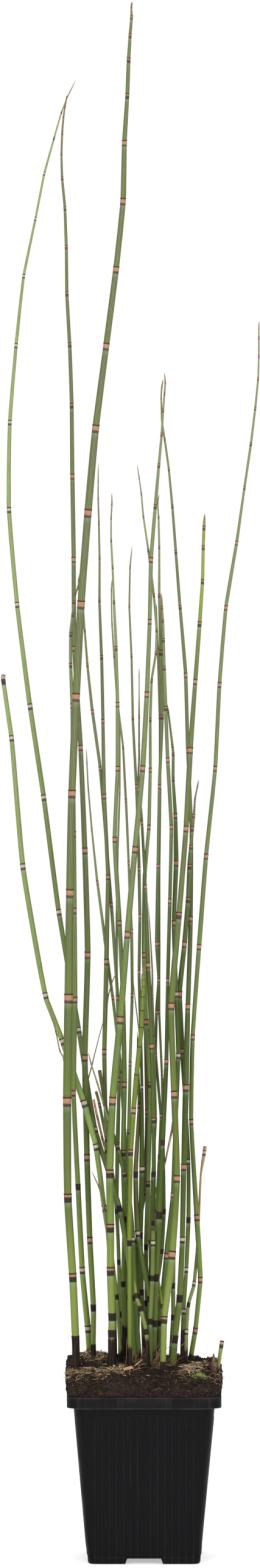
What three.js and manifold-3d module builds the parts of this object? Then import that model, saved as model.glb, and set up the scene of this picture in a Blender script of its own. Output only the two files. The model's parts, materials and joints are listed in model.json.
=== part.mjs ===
// Horsetail plant in its square nursery pot.
// Millimetres, +Z up. The origin is the middle of the pot's base, on the surface it stands on.
// The pot, the soil it holds and every stem are separate solids. Each stem stands in a plain
// hole of its own in the soil, and keeps clear of its neighbours all the way up.
import * as THREE from 'three';
import { mergeVertices } from 'three/addons/utils/BufferGeometryUtils.js';
import Module from 'manifold-3d';

const wasm = await Module();
wasm.setup();

// ---------------------------------------------------------------- driving dimensions
const GAP = 0.35; // clearance between pieces that touch

const POT_HEIGHT = 120;
const RIM_HALF = 55; // half the width across the rim band
const RIM_BAND = 8; // height of the rim band
const RIM_CORNER = 10;
const RIM_PANEL = [38, 0.35]; // width and depth of the raised panel in the middle of each rim side
const BODY_TOP_HALF = 50.25; // half the body's width, just under the rim
const BODY_FOOT_HALF = 40.4; // half the body's width at the foot step
const FOOT_HALF = 38.9; // half the width of the face that it stands on
const FOOT_STEP = 5.8; // height of the foot, up to its fine step line
const BODY_CORNER = [6, 11]; // corner radius at the foot and under the rim
const WALL = 1.2;
const FLOOR_UNDERSIDE = 4.6;
const FLOOR_TOP = 5.9;
const NOTCH = [27, 24, 3.9]; // mid-side notch: width at the ground, width at its top, height
const CENTRE_FOOT = 7; // radius of the round foot under the middle of the floor
const DRAIN = [3.2, 24, 8]; // radius of a drain hole, its distance from the middle, how many
const RIB = [0.9, 0.4, 103.5]; // width, how far it stands proud, height of its top end
const RIB_PITCH = 5.05;
const RIB_SHIFT = 0.45; // every rib stands this much nearer to the middle than its pitch gives
const RIBS_EACH_SIDE = 7; // ribs on each side of a face's middle, which has none

const SOIL_HALF = 55.2; // half the width of the root ball above the rim
const SOIL_FRONT = 134.3; // height of the soil at the front edge
const SOIL_RISE = 0.062; // climb towards the back, per millimetre
const SOIL_MOUND = { at: [-38, 38], height: 2.6, spread: 300 }; // low mound at the back left
const SOIL_FALL = [0.84, 3.2]; // share of the half width where the edge starts to fall, and its fall
const SOIL_LOW_RIGHT = [25, 30, 2.5]; // the right side sinks from this x on, over this width, by this
const ROOT_DEPTH = 15; // how deep a stem stands in the soil
const COLLAR = 1.5; // height above the soil up to which a stem rises straight out of its hole

const SHEATH_BASE = 1.2; // a joint's sheath is this long, and longer by SHEATH_SHARE diameters
const SHEATH_SHARE = 0.85;
const SHEATH_FLARE = 1.1; // rim of a sheath against the stem below it
const NECK = [0.5, 0.93]; // length of the narrow neck above a sheath, and its width's share
const SHEATH_ROOM = 0.45; // and never longer than this share of the way to the next joint
const SLIM = 2.7; // joints thinner than this have a rim and a neck, but no foot ring
const SIX_SIDED = 3.8; // stems at least this thick have six sides, and slimmer ones have five

const STALK = { at: [-11.5, -25], length: 7.2, radius: 1.7, turn: 8, tilt: -14 };
const BUD = { foot: [49.8, -13], rings: [[-8, 2.0], [1.5, 2.05], [6, 2.35], [10.5, 1.7]], tip: 15.5 };

const COLOUR = {
  pot: '#17191c',
  soil: '#2b211c',
  green: '#5c7a3a',
  pale: '#8fa56a',
  young: '#7f9f38',
  dead: '#b08a5c',
  thin: '#7d8f55',
  bud: '#5a4036',
};

// ---------------------------------------------------------------- stems, joint by joint
// foot is where the stem leaves the soil, and joints are the middles of its joints from the
// lowest up, each as x, y, height and diameter. The last one is the stem's tip or its cut end.
const STEMS = [
  {
    name: 'stem_01', tint: 'green', end: 'point', foot: [-48.5, -10],
    joints: [[-49, -10.5, 157, 5.4], [-51, -12, 202, 5.4], [-54.5, -13.5, 259, 5.4],
      [-55, -15.5, 328, 5.9], [-54, -17.5, 402, 5.9], [-53, -19.5, 477, 5.4], [-51.5, -22.5, 548, 5.2],
      [-48.5, -23, 617, 5.2], [-45, -27, 683, 5.2], [-40, -32.5, 748, 5.2], [-34.5, -37.5, 808, 4.8],
      [-27, -43, 866, 4.3], [-20, -49, 920, 4.1], [-15, -53, 968, 3.9], [-14, -57, 1009, 3.4],
      [-12, -60, 1042, 2.8], [-11, -63, 1067, 2.6], [-10, -64.5, 1084, 2.2], [-9, -64, 1097, 1.9],
      [-9, -66.5, 1105, 1.3], [-8.5, -67, 1108, 0.6]],
  },
  {
    name: 'stem_02', tint: 'green', end: 'point', foot: [-23, -6],
    joints: [[-23, -6.5, 161, 5.5], [-23, -6.5, 173, 5.2], [-24, -7, 206, 5.2], [-24, -7.5, 237, 5.2],
      [-24.5, -8, 276, 5.2], [-22.5, -8.5, 328, 5.0], [-17, -9, 386, 4.8], [-12, -10, 447, 4.1],
      [-6.5, -11.5, 508, 3.9], [-1, -11.5, 566, 3.7], [2, -13.5, 619, 3.3], [4, -17, 671, 2.8],
      [5, -21.5, 715, 2.8], [8, -24.5, 753, 2.4], [10.5, -28.5, 782, 2.0], [12.5, -31, 804, 1.7],
      [13.5, -32, 821, 1.5], [14.5, -32, 833, 1.3], [15, -33.5, 841, 1.1], [14.5, -35, 848, 0.7]],
  },
  {
    name: 'stem_03', tint: 'pale', end: 'point', foot: [-6.5, 14],
    joints: [[-9.5, 6, 200, 3.5], [-17.5, 4, 250, 3.5], [-35, 13.5, 306, 3.5], [-47, 30, 377, 3.5],
      [-61.5, 36, 462, 3.5], [-72.5, 42, 545, 3.5], [-82.5, 46, 611, 3.5], [-92, 53, 685, 3.1],
      [-98, 57, 754, 3.1], [-97.5, 61, 818, 2.7], [-93, 62.5, 874, 2.4], [-87.5, 67, 925, 2.0],
      [-79, 69.5, 967, 1.6], [-72.5, 69.5, 1000, 1.6], [-65.5, 72, 1026, 1.3], [-60, 72.5, 1045, 1.1],
      [-56.5, 74.5, 1055, 0.9], [-56.5, 74.5, 1058, 0.5]],
  },
  {
    name: 'stem_04', tint: 'green', end: 'point', foot: [-36.5, 28],
    joints: [[-36.5, 27.5, 149, 3.5], [-36.5, 25.5, 177, 4.0], [-39, 22, 226, 4.0],
      [-41, 17.5, 286, 4.2], [-42.5, 12, 358, 4.2], [-40.5, 9, 432, 4.2], [-42.5, 5, 507, 3.9],
      [-45.5, 3, 581, 3.3], [-50, 1, 652, 3.1], [-50.5, 4.5, 716, 3.1], [-51.5, 9, 776, 3.1],
      [-52, 11, 827, 2.8], [-53.5, 14.5, 871, 2.6], [-55.5, 18, 908, 2.4], [-56, 21.5, 942, 2.2],
      [-57, 23.5, 970, 2.0], [-59, 25, 992, 1.8], [-59.5, 27, 1010, 1.5], [-59, 27, 1025, 1.5],
      [-58, 27.5, 1037, 1.3], [-57, 28, 1044, 1.1], [-55.5, 30, 1051, 0.9], [-49, 29, 1064, 0.5]],
  },
  {
    name: 'stem_05', tint: 'green', end: 'point', foot: [20.5, -4],
    joints: [[22, -3.5, 157, 4.8], [25.5, -3, 186, 4.4], [27.5, -2.5, 228, 3.7],
      [28.5, -1.5, 280, 3.9], [30, -0.5, 337, 4.4], [31.5, 1, 395, 3.5], [33.5, 2, 458, 3.1],
      [34, 4.5, 522, 2.6], [31.5, 5, 579, 2.6], [30, 11, 633, 2.6], [26, 13.5, 682, 2.2],
      [23, 18.5, 722, 2.0], [20.5, 23.5, 755, 1.8], [18, 27, 782, 1.5], [15, 29.5, 804, 1.5],
      [13, 30.5, 818, 1.3], [12.5, 31.5, 834, 1.1], [13, 34, 842, 1.1], [14, 34.5, 848, 0.9]],
  },
  {
    name: 'stem_06', tint: 'young', end: 'point', foot: [13.5, -32],
    joints: [[13.5, -31.5, 142, 4.1], [14.5, -29, 173, 4.3], [20, -26, 219, 5.0],
      [23.5, -22.5, 273, 4.3], [21.5, -18, 333, 4.4], [19.5, -14, 396, 4.4], [25, -15, 461, 3.9],
      [30, -16, 523, 3.7], [33, -22, 579, 3.7], [36.5, -26, 628, 3.0], [39.5, -33.5, 669, 2.8],
      [41.5, -37, 699, 2.4], [42, -42, 723, 2.2], [42.5, -43.5, 737, 2.2], [43, -47, 747, 1.1]],
  },
  {
    name: 'stem_07', tint: 'green', end: 'point', foot: [32.5, 22],
    joints: [[37, 19.5, 161, 3.5], [40.5, 15.5, 198, 3.5], [38, 12, 243, 3.7], [34, 8, 312, 3.1],
      [35, 5, 373, 3.1], [39.5, 2, 438, 3.3], [44.5, -1, 503, 3.1], [51, -4, 566, 2.8],
      [54, -10.5, 626, 2.8], [58.5, -18.5, 681, 2.6], [66, -23.5, 727, 2.2], [71.5, -29, 766, 1.7],
      [76, -33.5, 797, 1.7], [79, -37, 822, 1.5], [81, -39.5, 843, 1.3], [81.5, -41, 859, 1.2],
      [81.5, -42, 872, 1.1], [81.5, -43, 879, 0.9], [81.5, -45, 884, 0.5]],
  },
  {
    name: 'stem_08', tint: 'green', end: 'point', foot: [6.5, 0],
    joints: [[7.5, -1, 168, 3.9], [8.5, -2, 201, 4.4], [11, -4, 246, 4.4], [13.5, -6, 298, 3.1],
      [16, -6, 356, 3.1], [17, -6, 414, 2.6], [18.5, -6, 471, 2.6], [19.5, -7, 524, 2.6],
      [17, -5.5, 572, 2.6], [15.5, -7, 609, 2.6], [14.5, -5, 638, 2.2], [14, -5, 658, 2.0],
      [13.5, -6, 672, 1.7], [13, -4.5, 681, 1.5], [12.5, -6, 692, 0.9]],
  },
  {
    name: 'stem_09', tint: 'green', end: 'point', foot: [-39, 38],
    joints: [[-40.5, 35, 161, 4.4], [-44.5, 27.5, 204, 4.0], [-47.5, 17, 265, 3.7],
      [-50.5, 5, 333, 3.3], [-49.5, 2, 400, 3.5], [-50, -0.5, 464, 3.5], [-50.5, -2.5, 519, 3.5],
      [-51, -4, 567, 3.1], [-51.5, -6.5, 611, 2.6], [-52.5, -9.5, 640, 2.4], [-52.5, -14, 662, 2.2],
      [-51, -16.5, 676, 2.0], [-50, -18.5, 685, 1.7], [-49, -18.5, 691, 1.5], [-47, -20.5, 696, 1.5],
      [-46.5, -22.5, 701, 1.3], [-45.5, -23, 705, 1.3], [-44.5, -23, 708, 1.1], [-43.5, -23, 712, 0.7]],
  },
  {
    name: 'stem_10', tint: 'pale', end: 'cut', foot: [-16.5, 16],
    joints: [[-19.5, 12, 186, 2.6], [-23.5, 9, 217, 3.1], [-28.5, 5, 250, 3.5], [-34.5, 6.5, 294, 3.9],
      [-43, 8, 325, 4.4], [-58.5, 17.5, 369, 3.9], [-71, 26, 402, 3.7], [-87.5, 37, 495, 3.7],
      [-96, 48.5, 588, 3.3], [-102, 53, 630, 3.1], [-102, 54.5, 634, 3.1]],
  },
  {
    name: 'stem_11', tint: 'green', end: 'point', foot: [-20.5, 28],
    joints: [[-21.5, 26, 185, 2.6], [-25, 23, 242, 2.6], [-27, 20, 299, 2.6], [-28.5, 16, 362, 3.3],
      [-27, 12, 427, 3.5], [-26, 8.5, 488, 2.8], [-28.5, 7, 546, 2.8], [-29.5, 10, 600, 2.4],
      [-30.5, 11, 646, 2.2], [-32, 16, 687, 1.8], [-32, 20.5, 718, 1.5], [-32.5, 24, 743, 1.3],
      [-33, 25.5, 761, 1.1], [-33, 25.5, 773, 0.9], [-33, 29, 787, 0.5]],
  },
  {
    name: 'stem_12', tint: 'green', end: 'point', foot: [-13.5, 20],
    joints: [[-15, 14.5, 195, 3.1], [-14, 9.5, 242, 3.1], [-15, 4, 290, 3.5], [-14, 3, 339, 3.5],
      [-15, 1.5, 397, 3.3], [-17.5, 0, 455, 3.1], [-21, -0.5, 515, 3.1], [-19, -3.5, 566, 2.8],
      [-19, -4.5, 612, 2.6], [-20, -9.5, 652, 2.2], [-21.5, -12, 685, 1.7], [-22.5, -16, 710, 1.5],
      [-23.5, -18, 729, 1.3], [-23.5, -19, 745, 1.1], [-23, -22, 755, 1.1], [-23, -21.5, 763, 0.7]],
  },
  {
    name: 'stem_13', tint: 'green', end: 'point', foot: [2.5, 38],
    joints: [[2, 30.5, 180, 3.1], [1.5, 23.5, 221, 3.1], [3, 15.5, 267, 3.1], [4.5, 3, 339, 3.3],
      [1.5, 2, 384, 3.3], [0, 3, 432, 3.1], [0.5, 4.5, 488, 2.8], [3.5, 1, 524, 2.6],
      [4.5, -1, 565, 2.2], [4.5, -2, 601, 2.0], [5.5, -5, 629, 1.7], [8.5, -7.5, 649, 1.7],
      [9, -8.5, 665, 1.7], [7, -13, 690, 1.7], [3, -18.5, 722, 1.5], [-0.5, -24.5, 746, 1.3],
      [-2, -28.5, 762, 1.1], [-3.5, -32, 773, 0.9], [-5, -33.5, 783, 0.7]],
  },
  {
    name: 'stem_14', tint: 'green', end: 'point', foot: [7, 12],
    joints: [[8, 9, 204, 2.2], [9, 7, 248, 2.2], [11, 5, 287, 2.2], [12, 0, 317, 2.0],
      [8.5, 1, 360, 2.0], [9, 1, 391, 2.2], [10.5, 1.5, 414, 2.2], [9, 1.5, 440, 2.2],
      [10, 2, 496, 2.2], [11, 2, 553, 2.2], [13, 0.5, 603, 2.4], [12.5, -1, 649, 3.1],
      [11, 1.5, 690, 2.0], [11, 11.5, 725, 1.5], [10.5, 16.5, 747, 1.3], [10, 17.5, 758, 1.1],
      [11, 20.5, 764, 0.7]],
  },
  {
    name: 'stem_15', tint: 'green', end: 'point', foot: [4, 26],
    joints: [[4.5, 18.5, 199, 3.1], [6.5, 13, 239, 2.6], [7, 5, 275, 3.1], [7, -5, 314, 3.1],
      [5.5, -8, 367, 3.1], [3, -8, 425, 3.1], [1, -2.5, 481, 2.2], [-1.5, 1, 527, 2.0],
      [-4, 6.5, 559, 1.5], [-3.5, 6.5, 573, 1.4], [-3.5, 8.5, 583, 1.3], [-3.5, 11, 603, 1.3],
      [-3.5, 13, 621, 0.7], [-3.5, 12.5, 632, 0.7], [-3.5, 14, 639, 0.4]],
  },
  {
    name: 'stem_16', tint: 'green', end: 'point', foot: [0.5, 18],
    joints: [[-1.5, 16, 189, 3.1], [-2.5, 14, 230, 3.5], [-1.5, 9.5, 278, 3.9], [-1.5, 4, 337, 2.2],
      [-2.5, 1.5, 379, 2.2], [-3.5, -0.5, 420, 2.2], [-3, -3, 460, 2.2], [-3.5, -2.5, 494, 2.2],
      [-5.5, -0.5, 553, 2.0], [-8, 6, 602, 1.8], [-9, 12, 647, 1.5], [-10.5, 15.5, 683, 1.3],
      [-10, 20.5, 711, 1.1], [-8.5, 21.5, 727, 0.9]],
  },
  {
    name: 'stem_17', tint: 'green', end: 'point', foot: [27.5, 18],
    joints: [[28.5, 17, 175, 3.1], [30.5, 16.5, 205, 2.9], [32, 15, 241, 3.1], [32, 14, 283, 2.8],
      [30, 11, 322, 2.8], [27.5, 8, 363, 3.5], [25.5, 5, 404, 3.9], [29, 0, 440, 3.5],
      [31.5, -4.5, 472, 3.1], [32.5, -8, 496, 3.1], [33.5, -13, 510, 2.6], [34.5, -15, 523, 2.6],
      [35.5, -19.5, 532, 2.0], [36, -20, 539, 1.5], [36.5, -21.5, 545, 1.3], [38, -25.5, 553, 1.1],
      [39, -26, 558, 0.5]],
  },
  {
    name: 'stem_18', tint: 'green', end: 'point', foot: [10.5, 18],
    joints: [[11.5, 14, 167, 3.1], [16, 6, 216, 3.5], [20.5, -2, 260, 2.8], [22.5, 0, 309, 3.1],
      [24.5, -2, 360, 3.1], [23, -2, 404, 3.1], [21.5, 0, 455, 3.1], [23, 2, 498, 3.5],
      [22.5, 4, 532, 2.8], [21, 6.5, 558, 2.2], [21, 9, 576, 2.0], [20.5, 9.5, 582, 1.8],
      [17.5, 13.5, 607, 1.3], [16.5, 14.5, 613, 0.9]],
  },
  {
    name: 'stem_19', tint: 'young', end: 'point', foot: [-10, -6],
    joints: [[-10.5, -7, 226, 3.1], [-9.5, -8, 291, 3.5], [-7.5, -9, 321, 3.5], [-5.5, -9.5, 345, 3.5],
      [-3.5, -10, 365, 3.5], [-2, -10.5, 379, 3.3], [-1.5, -11, 391, 3.3], [-1, -11.5, 401, 3.3],
      [-0.5, -11.5, 409, 3.1], [-0.5, -11.5, 414, 3.1], [-0.5, -12, 418, 2.8], [0, -12, 420, 2.4],
      [0, -12, 425, 1.1]],
  },
  {
    name: 'stem_20', tint: 'green', end: 'point', foot: [-14.5, 36],
    joints: [[-16, 31, 172, 3.5], [-18, 25.5, 210, 2.6], [-19.5, 20, 247, 2.6], [-19, 18, 295, 3.1],
      [-18, 12, 342, 2.4], [-19, 8, 401, 2.4], [-23.5, 14, 468, 2.4], [-31.5, 10.5, 566, 2.2],
      [-37, 1.5, 607, 2.2], [-40.5, -7, 640, 1.7], [-42.5, -6.5, 665, 1.5], [-44, -7, 687, 1.3],
      [-44.5, -8.5, 698, 0.7]],
  },
  {
    name: 'stem_21', tint: 'green', end: 'point', foot: [-4, 40],
    joints: [[-7.5, 34.5, 183, 3.1], [-7.5, 29, 226, 2.6], [-12.5, 22, 281, 2.6],
      [-16.5, 21, 348, 2.4], [-22.5, 20, 401, 2.2], [-28, 15, 442, 2.2], [-33.5, 13.5, 484, 1.8],
      [-37.5, 13, 522, 1.3], [-40, 10.5, 551, 1.1], [-41, 10, 570, 0.9], [-41.5, 10.5, 581, 0.7]],
  },
  {
    name: 'stem_22', tint: 'green', end: 'point', foot: [-10.5, 28],
    joints: [[-11, 23, 185, 2.6], [-11, 18, 225, 2.6], [-12.5, 14, 262, 2.6], [-11, 7.5, 305, 2.6],
      [-10, 0, 354, 2.2], [-8.5, 1.5, 403, 2.2], [-9, 2.5, 449, 2.2], [-11, 4, 498, 1.7],
      [-13, 6, 543, 1.8], [-15, 6, 581, 1.5], [-19.5, 10.5, 618, 1.3], [-21.5, 16.5, 647, 1.3],
      [-23, 20, 670, 1.1], [-23.5, 23.5, 695, 0.9], [-23, 23, 703, 0.7]],
  },
  {
    name: 'stem_23', tint: 'green', end: 'point', foot: [-12, 40],
    joints: [[-13, 36, 210, 2.6], [-10.5, 34, 252, 2.6], [-12.5, 32, 286, 2.2],
      [-16.5, 29.5, 339, 2.0], [-19.5, 26, 400, 1.8], [-19.5, 19, 460, 1.8], [-19, 14.5, 504, 1.5],
      [-17.5, 13, 548, 1.3], [-17.5, 12.5, 602, 1.1], [-18, 12.5, 609, 0.7]],
  },
  {
    name: 'stem_24', tint: 'green', end: 'point', foot: [8.5, 30],
    joints: [[10, 24.5, 194, 2.6], [13, 22, 218, 2.6], [14.5, 19, 247, 2.6], [14, 14, 297, 2.0],
      [13, 13, 344, 1.8], [11, 12, 391, 1.8], [11, 11, 440, 1.8], [11, 10, 497, 1.8],
      [11.5, 9, 550, 2.0], [11.5, 8, 603, 2.0], [10, 8, 653, 1.8], [9, 9, 677, 1.1],
      [9, 9.5, 685, 0.7]],
  },
  {
    name: 'stem_25', tint: 'thin', end: 'point', foot: [6.5, 36],
    joints: [[4, 20, 225, 1.8], [6, 9, 274, 1.8], [8.5, 1, 314, 1.7], [7, -2, 375, 1.7],
      [6, -1, 402, 1.7], [6, -1, 419, 1.3], [4.5, -0.5, 447, 0.9], [3, 0, 471, 0.7]],
  },
  {
    name: 'stem_26', tint: 'green', end: 'point', foot: [-4, 24],
    joints: [[-4.5, 24, 154, 3.1], [-4, 24, 185, 2.6], [-5, 24, 225, 2.6], [0.5, 24, 260, 2.6],
      [2, 12, 319, 2.6], [1, 10.5, 385, 2.6], [1, 10, 418, 1.8]],
  },
  {
    name: 'stem_27', tint: 'green', end: 'point', foot: [5.5, 8],
    joints: [[4, 6, 185, 3.5], [-4.5, 4.5, 232, 3.5], [-6, 10, 274, 3.5], [-3.5, 9, 323, 2.4],
      [-5, 6, 379, 1.3]],
  },
  {
    name: 'stem_28', tint: 'green', end: 'point', foot: [19, 16],
    joints: [[21, 14, 171, 3.1], [21, 12.5, 194, 3.1], [21.5, 10.5, 221, 2.6], [22.5, 8, 261, 1.3]],
  },
  {
    name: 'stem_29', tint: 'green', end: 'point', foot: [3, -16],
    joints: [[1.5, -14, 163, 3.0], [-2.5, -9, 179, 3.1], [-5.5, -7, 188, 2.6], [-7, -3, 200, 2.2]],
  },
  {
    name: 'stem_30', tint: 'green', end: 'cut', foot: [-2.5, 2],
    joints: [[-6.5, 2, 186, 3.1], [-8, 2, 228, 3.1], [-10.5, 0.5, 255, 3.1], [-14, -1, 275, 3.1],
      [-19, 0, 294, 3.1], [-25.5, 6, 313, 2.6], [-32, 12, 349, 2.6]],
  },
  {
    name: 'stem_31', tint: 'green', end: 'cut', foot: [-17.5, 42],
    joints: [[-18, 39, 184, 2.2], [-19, 36, 228, 2.2], [-21.5, 33.5, 266, 2.2], [-26, 32, 292, 2.2],
      [-32, 26, 323, 2.2], [-34.5, 24, 333, 2.2]],
  },
  {
    name: 'stem_32', tint: 'pale', end: 'cut', foot: [4.5, -9],
    joints: [[4.5, -8.5, 170, 3.1], [6, -8, 201, 3.1], [6.5, -7.5, 226, 3.1], [6.5, -7.5, 235, 3.1]],
  },
  {
    name: 'stem_33', tint: 'dead', end: 'cut', foot: [30, 2],
    joints: [[30.5, 6, 161, 2.8], [32, 11, 180, 2.6], [36, 15, 195, 2.6], [38.5, 21, 220, 2.2],
      [39.5, 19, 241, 1.8], [41, 18.5, 273, 1.5], [43.5, 18, 290, 2.6], [44, 18, 294, 2.6]],
  },
  {
    name: 'stem_34', tint: 'young', end: 'point', foot: [15, 2],
    joints: [[13, 3, 180, 2.2], [9.5, 6, 204, 2.2], [9, 3, 226, 1.7], [9.5, 1, 250, 1.7],
      [8.5, 1, 266, 0.9]],
  },
  {
    name: 'stem_35', tint: 'dead', end: 'cut', foot: [-23, 20],
    joints: [[-24, 17, 208, 1.8], [-25.5, 15, 260, 1.8], [-27.5, 16, 290, 1.8], [-30, 15.5, 300, 1.8],
      [-33.5, 12, 315, 1.8], [-36, 6, 328, 1.5]],
  },
  {
    name: 'stem_36', tint: 'dead', end: 'point', foot: [13, 24],
    joints: [[10.5, 12, 190, 1.3], [11, 10, 230, 1.3], [12.5, 1, 270, 1.3], [15.5, 0, 285, 1.3],
      [19.5, 2.5, 304, 1.5], [21, 3.5, 314, 1.3], [22, 4, 317, 0.9]],
  },
  {
    name: 'stem_37', tint: 'thin', end: 'point', foot: [-46.5, 8],
    joints: [[-50, 6, 201, 1.3], [-53.5, 3.5, 261, 1.3], [-55.5, 1, 327, 1.3], [-57.5, 0, 357, 1.3],
      [-60.5, 0, 364, 1.1], [-63, 0, 376, 1.1], [-68.5, 0, 397, 0.7]],
  },
  {
    name: 'stem_38', tint: 'thin', end: 'point', foot: [-35, 38],
    joints: [[-36.5, 34.5, 175, 1.3], [-39, 30, 224, 1.1], [-41.5, 27, 286, 1.1],
      [-40.5, 28, 339, 0.9], [-37, 26, 354, 0.9], [-32, 22, 374, 0.7], [-28.5, 19, 387, 0.7]],
  },
  {
    name: 'stem_39', tint: 'thin', end: 'point', foot: [-25, 30],
    joints: [[-23, 28.5, 207, 1.3], [-27.5, 25, 286, 1.1], [-28.5, 22, 330, 1.1],
      [-28, 19.5, 374, 1.1], [-26, 17.5, 400, 0.9], [-23, 16.5, 412, 0.9], [-20.5, 16, 418, 0.7]],
  },
  {
    name: 'stem_40', tint: 'thin', end: 'point', foot: [-20.5, 2],
    joints: [[-22, 0, 209, 1.3], [-23, -1, 275, 1.3], [-25.5, 1.5, 312, 1.5], [-29, 2.5, 325, 1.5],
      [-33.5, 4, 340, 1.3], [-38, 5, 354, 1.1], [-40, 6, 362, 0.7]],
  },
  {
    name: 'stem_41', tint: 'thin', end: 'point', foot: [-25.5, 2],
    joints: [[-24.5, 1, 187, 1.3], [-26, 0, 222, 1.3], [-28.5, -0.5, 250, 1.3],
      [-32.5, -0.5, 266, 1.1], [-38, -1, 278, 0.7]],
  },
  {
    name: 'stem_42', tint: 'thin', end: 'point', foot: [-8.5, -3],
    joints: [[-9.5, -3, 226, 1.3], [-8.5, -3, 301, 1.1], [-5, -3, 345, 1.1], [-3.5, -3, 375, 0.9],
      [-6, -3, 397, 0.9], [-8, -3, 417, 0.7]],
  },
  {
    name: 'stem_43', tint: 'young', end: 'cut', foot: [52.4, -6], depth: 8,
    joints: [[53.8, -6, 142, 2.8], [56, -6, 156, 3.1]],
  },
];

// ---------------------------------------------------------------- shared geometry
// A closed body from stacked loops with equal numbers of points, each anticlockwise from above.
// An end that is a single point closes the body in a tip, and a loop is capped round its middle.
function loft(loops, tip = null) {
  const count = loops[0].length;
  const points = loops.flat();
  const faces = [];
  for (let k = 0; k + 1 < loops.length; k += 1) {
    for (let i = 0; i < count; i += 1) {
      const j = (i + 1) % count;
      const low = k * count;
      const high = low + count;
      faces.push(low + i, low + j, high + j);
      faces.push(low + i, high + j, high + i);
    }
  }
  const bottom = points.push(middle(loops[0])) - 1;
  const top = points.push(tip ?? middle(loops.at(-1))) - 1;
  const last = (loops.length - 1) * count;
  for (let i = 0; i < count; i += 1) {
    const j = (i + 1) % count;
    faces.push(bottom, j, i);
    faces.push(top, last + i, last + j);
  }
  const geometry = new THREE.BufferGeometry();
  geometry.setFromPoints(points);
  geometry.setIndex(faces);
  return geometry;
}

function middle(loop) {
  const sum = new THREE.Vector3();
  loop.forEach((point) => sum.add(point));
  return sum.divideScalar(loop.length);
}

function solid(geometry) {
  const bare = geometry.clone();
  bare.deleteAttribute('normal');
  bare.deleteAttribute('uv');
  const merged = mergeVertices(bare, 1e-4);
  const mesh = new wasm.Mesh({
    numProp: 3,
    vertProperties: new Float32Array(merged.attributes.position.array),
    triVerts: new Uint32Array(merged.index.array),
  });
  return new wasm.Manifold(mesh);
}

function geometryOf(body) {
  const mesh = body.getMesh();
  const geometry = new THREE.BufferGeometry();
  geometry.setAttribute('position', new THREE.BufferAttribute(mesh.vertProperties, 3));
  geometry.setIndex(new THREE.BufferAttribute(mesh.triVerts, 1));
  return geometry;
}

// A square with rounded corners as a loop of points. The height is a number or a function of x, y.
function squareLoop(half, corner, height, cornerSteps = 3, sideSteps = 1) {
  const loop = [];
  const reach = half - corner;
  for (let side = 0; side < 4; side += 1) {
    const turn = (side * Math.PI) / 2;
    for (let step = 0; step < sideSteps - 1; step += 1) {
      const along = -reach + (2 * reach * (step + 1)) / sideSteps;
      loop.push(turned(half, along, turn));
    }
    for (let step = 0; step <= cornerSteps; step += 1) {
      const angle = (step / cornerSteps) * (Math.PI / 2);
      loop.push(turned(reach + corner * Math.cos(angle), reach + corner * Math.sin(angle), turn));
    }
  }
  loop.forEach((point) => point.setZ(typeof height === 'function' ? height(point.x, point.y) : height));
  return loop;
}

function turned(x, y, angle) {
  return new THREE.Vector3(x, y, 0).applyAxisAngle(new THREE.Vector3(0, 0, 1), angle);
}

// A regular ring of points round a centre, square to a direction that points mostly upwards.
function ringLoop(centre, radius, direction, sides) {
  const across = new THREE.Vector3(1, 0, 0).addScaledVector(direction, -direction.x).normalize();
  const over = new THREE.Vector3().crossVectors(direction, across);
  const loop = [];
  for (let i = 0; i < sides; i += 1) {
    const angle = (i / sides) * 2 * Math.PI;
    const point = centre.clone();
    point.addScaledVector(across, radius * Math.cos(angle));
    point.addScaledVector(over, radius * Math.sin(angle));
    loop.push(point);
  }
  return loop;
}

function block(width, depth, height, x, y, z) {
  const geometry = new THREE.BoxGeometry(width, depth, height);
  geometry.translate(x, y, z);
  return solid(geometry);
}

function material(colour, roughness) {
  return new THREE.MeshStandardMaterial({ color: colour, roughness, metalness: 0 });
}

function piece(name, geometry, finish) {
  const mesh = new THREE.Mesh(geometry, finish);
  mesh.name = name;
  return mesh;
}

// ---------------------------------------------------------------- pot
// A moulded pot: tapered body, stepped-out rim band, raised floor with drain holes, a notch in the
// middle of each side of the foot, and fine upright ribs on the faces.
function potGeometry() {
  const [footCorner, topCorner] = BODY_CORNER;
  const shoulder = POT_HEIGHT - RIM_BAND;
  let body = solid(loft([
    squareLoop(FOOT_HALF, footCorner - 1, 0),
    squareLoop(BODY_FOOT_HALF - 0.3, footCorner, 1.6),
    squareLoop(BODY_FOOT_HALF - 0.1, footCorner, FOOT_STEP),
    squareLoop(BODY_FOOT_HALF + 0.3, footCorner, FOOT_STEP + 0.4),
    squareLoop(BODY_TOP_HALF, topCorner, shoulder - 0.2),
    squareLoop(RIM_HALF - 0.3, RIM_CORNER, shoulder),
    squareLoop(RIM_HALF, RIM_CORNER, shoulder + 0.6),
    squareLoop(RIM_HALF, RIM_CORNER, POT_HEIGHT),
  ]));
  for (let side = 0; side < 4; side += 1) {
    body = body.add(sideRibs().rotate([0, 0, side * 90]));
    body = body.add(rimPanel(shoulder).rotate([0, 0, side * 90]));
  }
  body = body.subtract(potCavity(shoulder));
  body = body.subtract(underFloor());
  body = body.add(centreFoot());
  for (let side = 0; side < 4; side += 1) {
    body = body.subtract(footNotch().rotate([0, 0, side * 90]));
  }
  const [drainRadius, drainReach, drainCount] = DRAIN;
  for (let i = 0; i < drainCount; i += 1) {
    const hole = new THREE.CylinderGeometry(drainRadius, drainRadius, 6, 8);
    hole.rotateX(Math.PI / 2);
    const angle = (i / drainCount) * 2 * Math.PI;
    hole.translate(drainReach * Math.cos(angle), drainReach * Math.sin(angle), FLOOR_TOP - 1);
    body = body.subtract(solid(hole));
  }
  return geometryOf(body);
}

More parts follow.
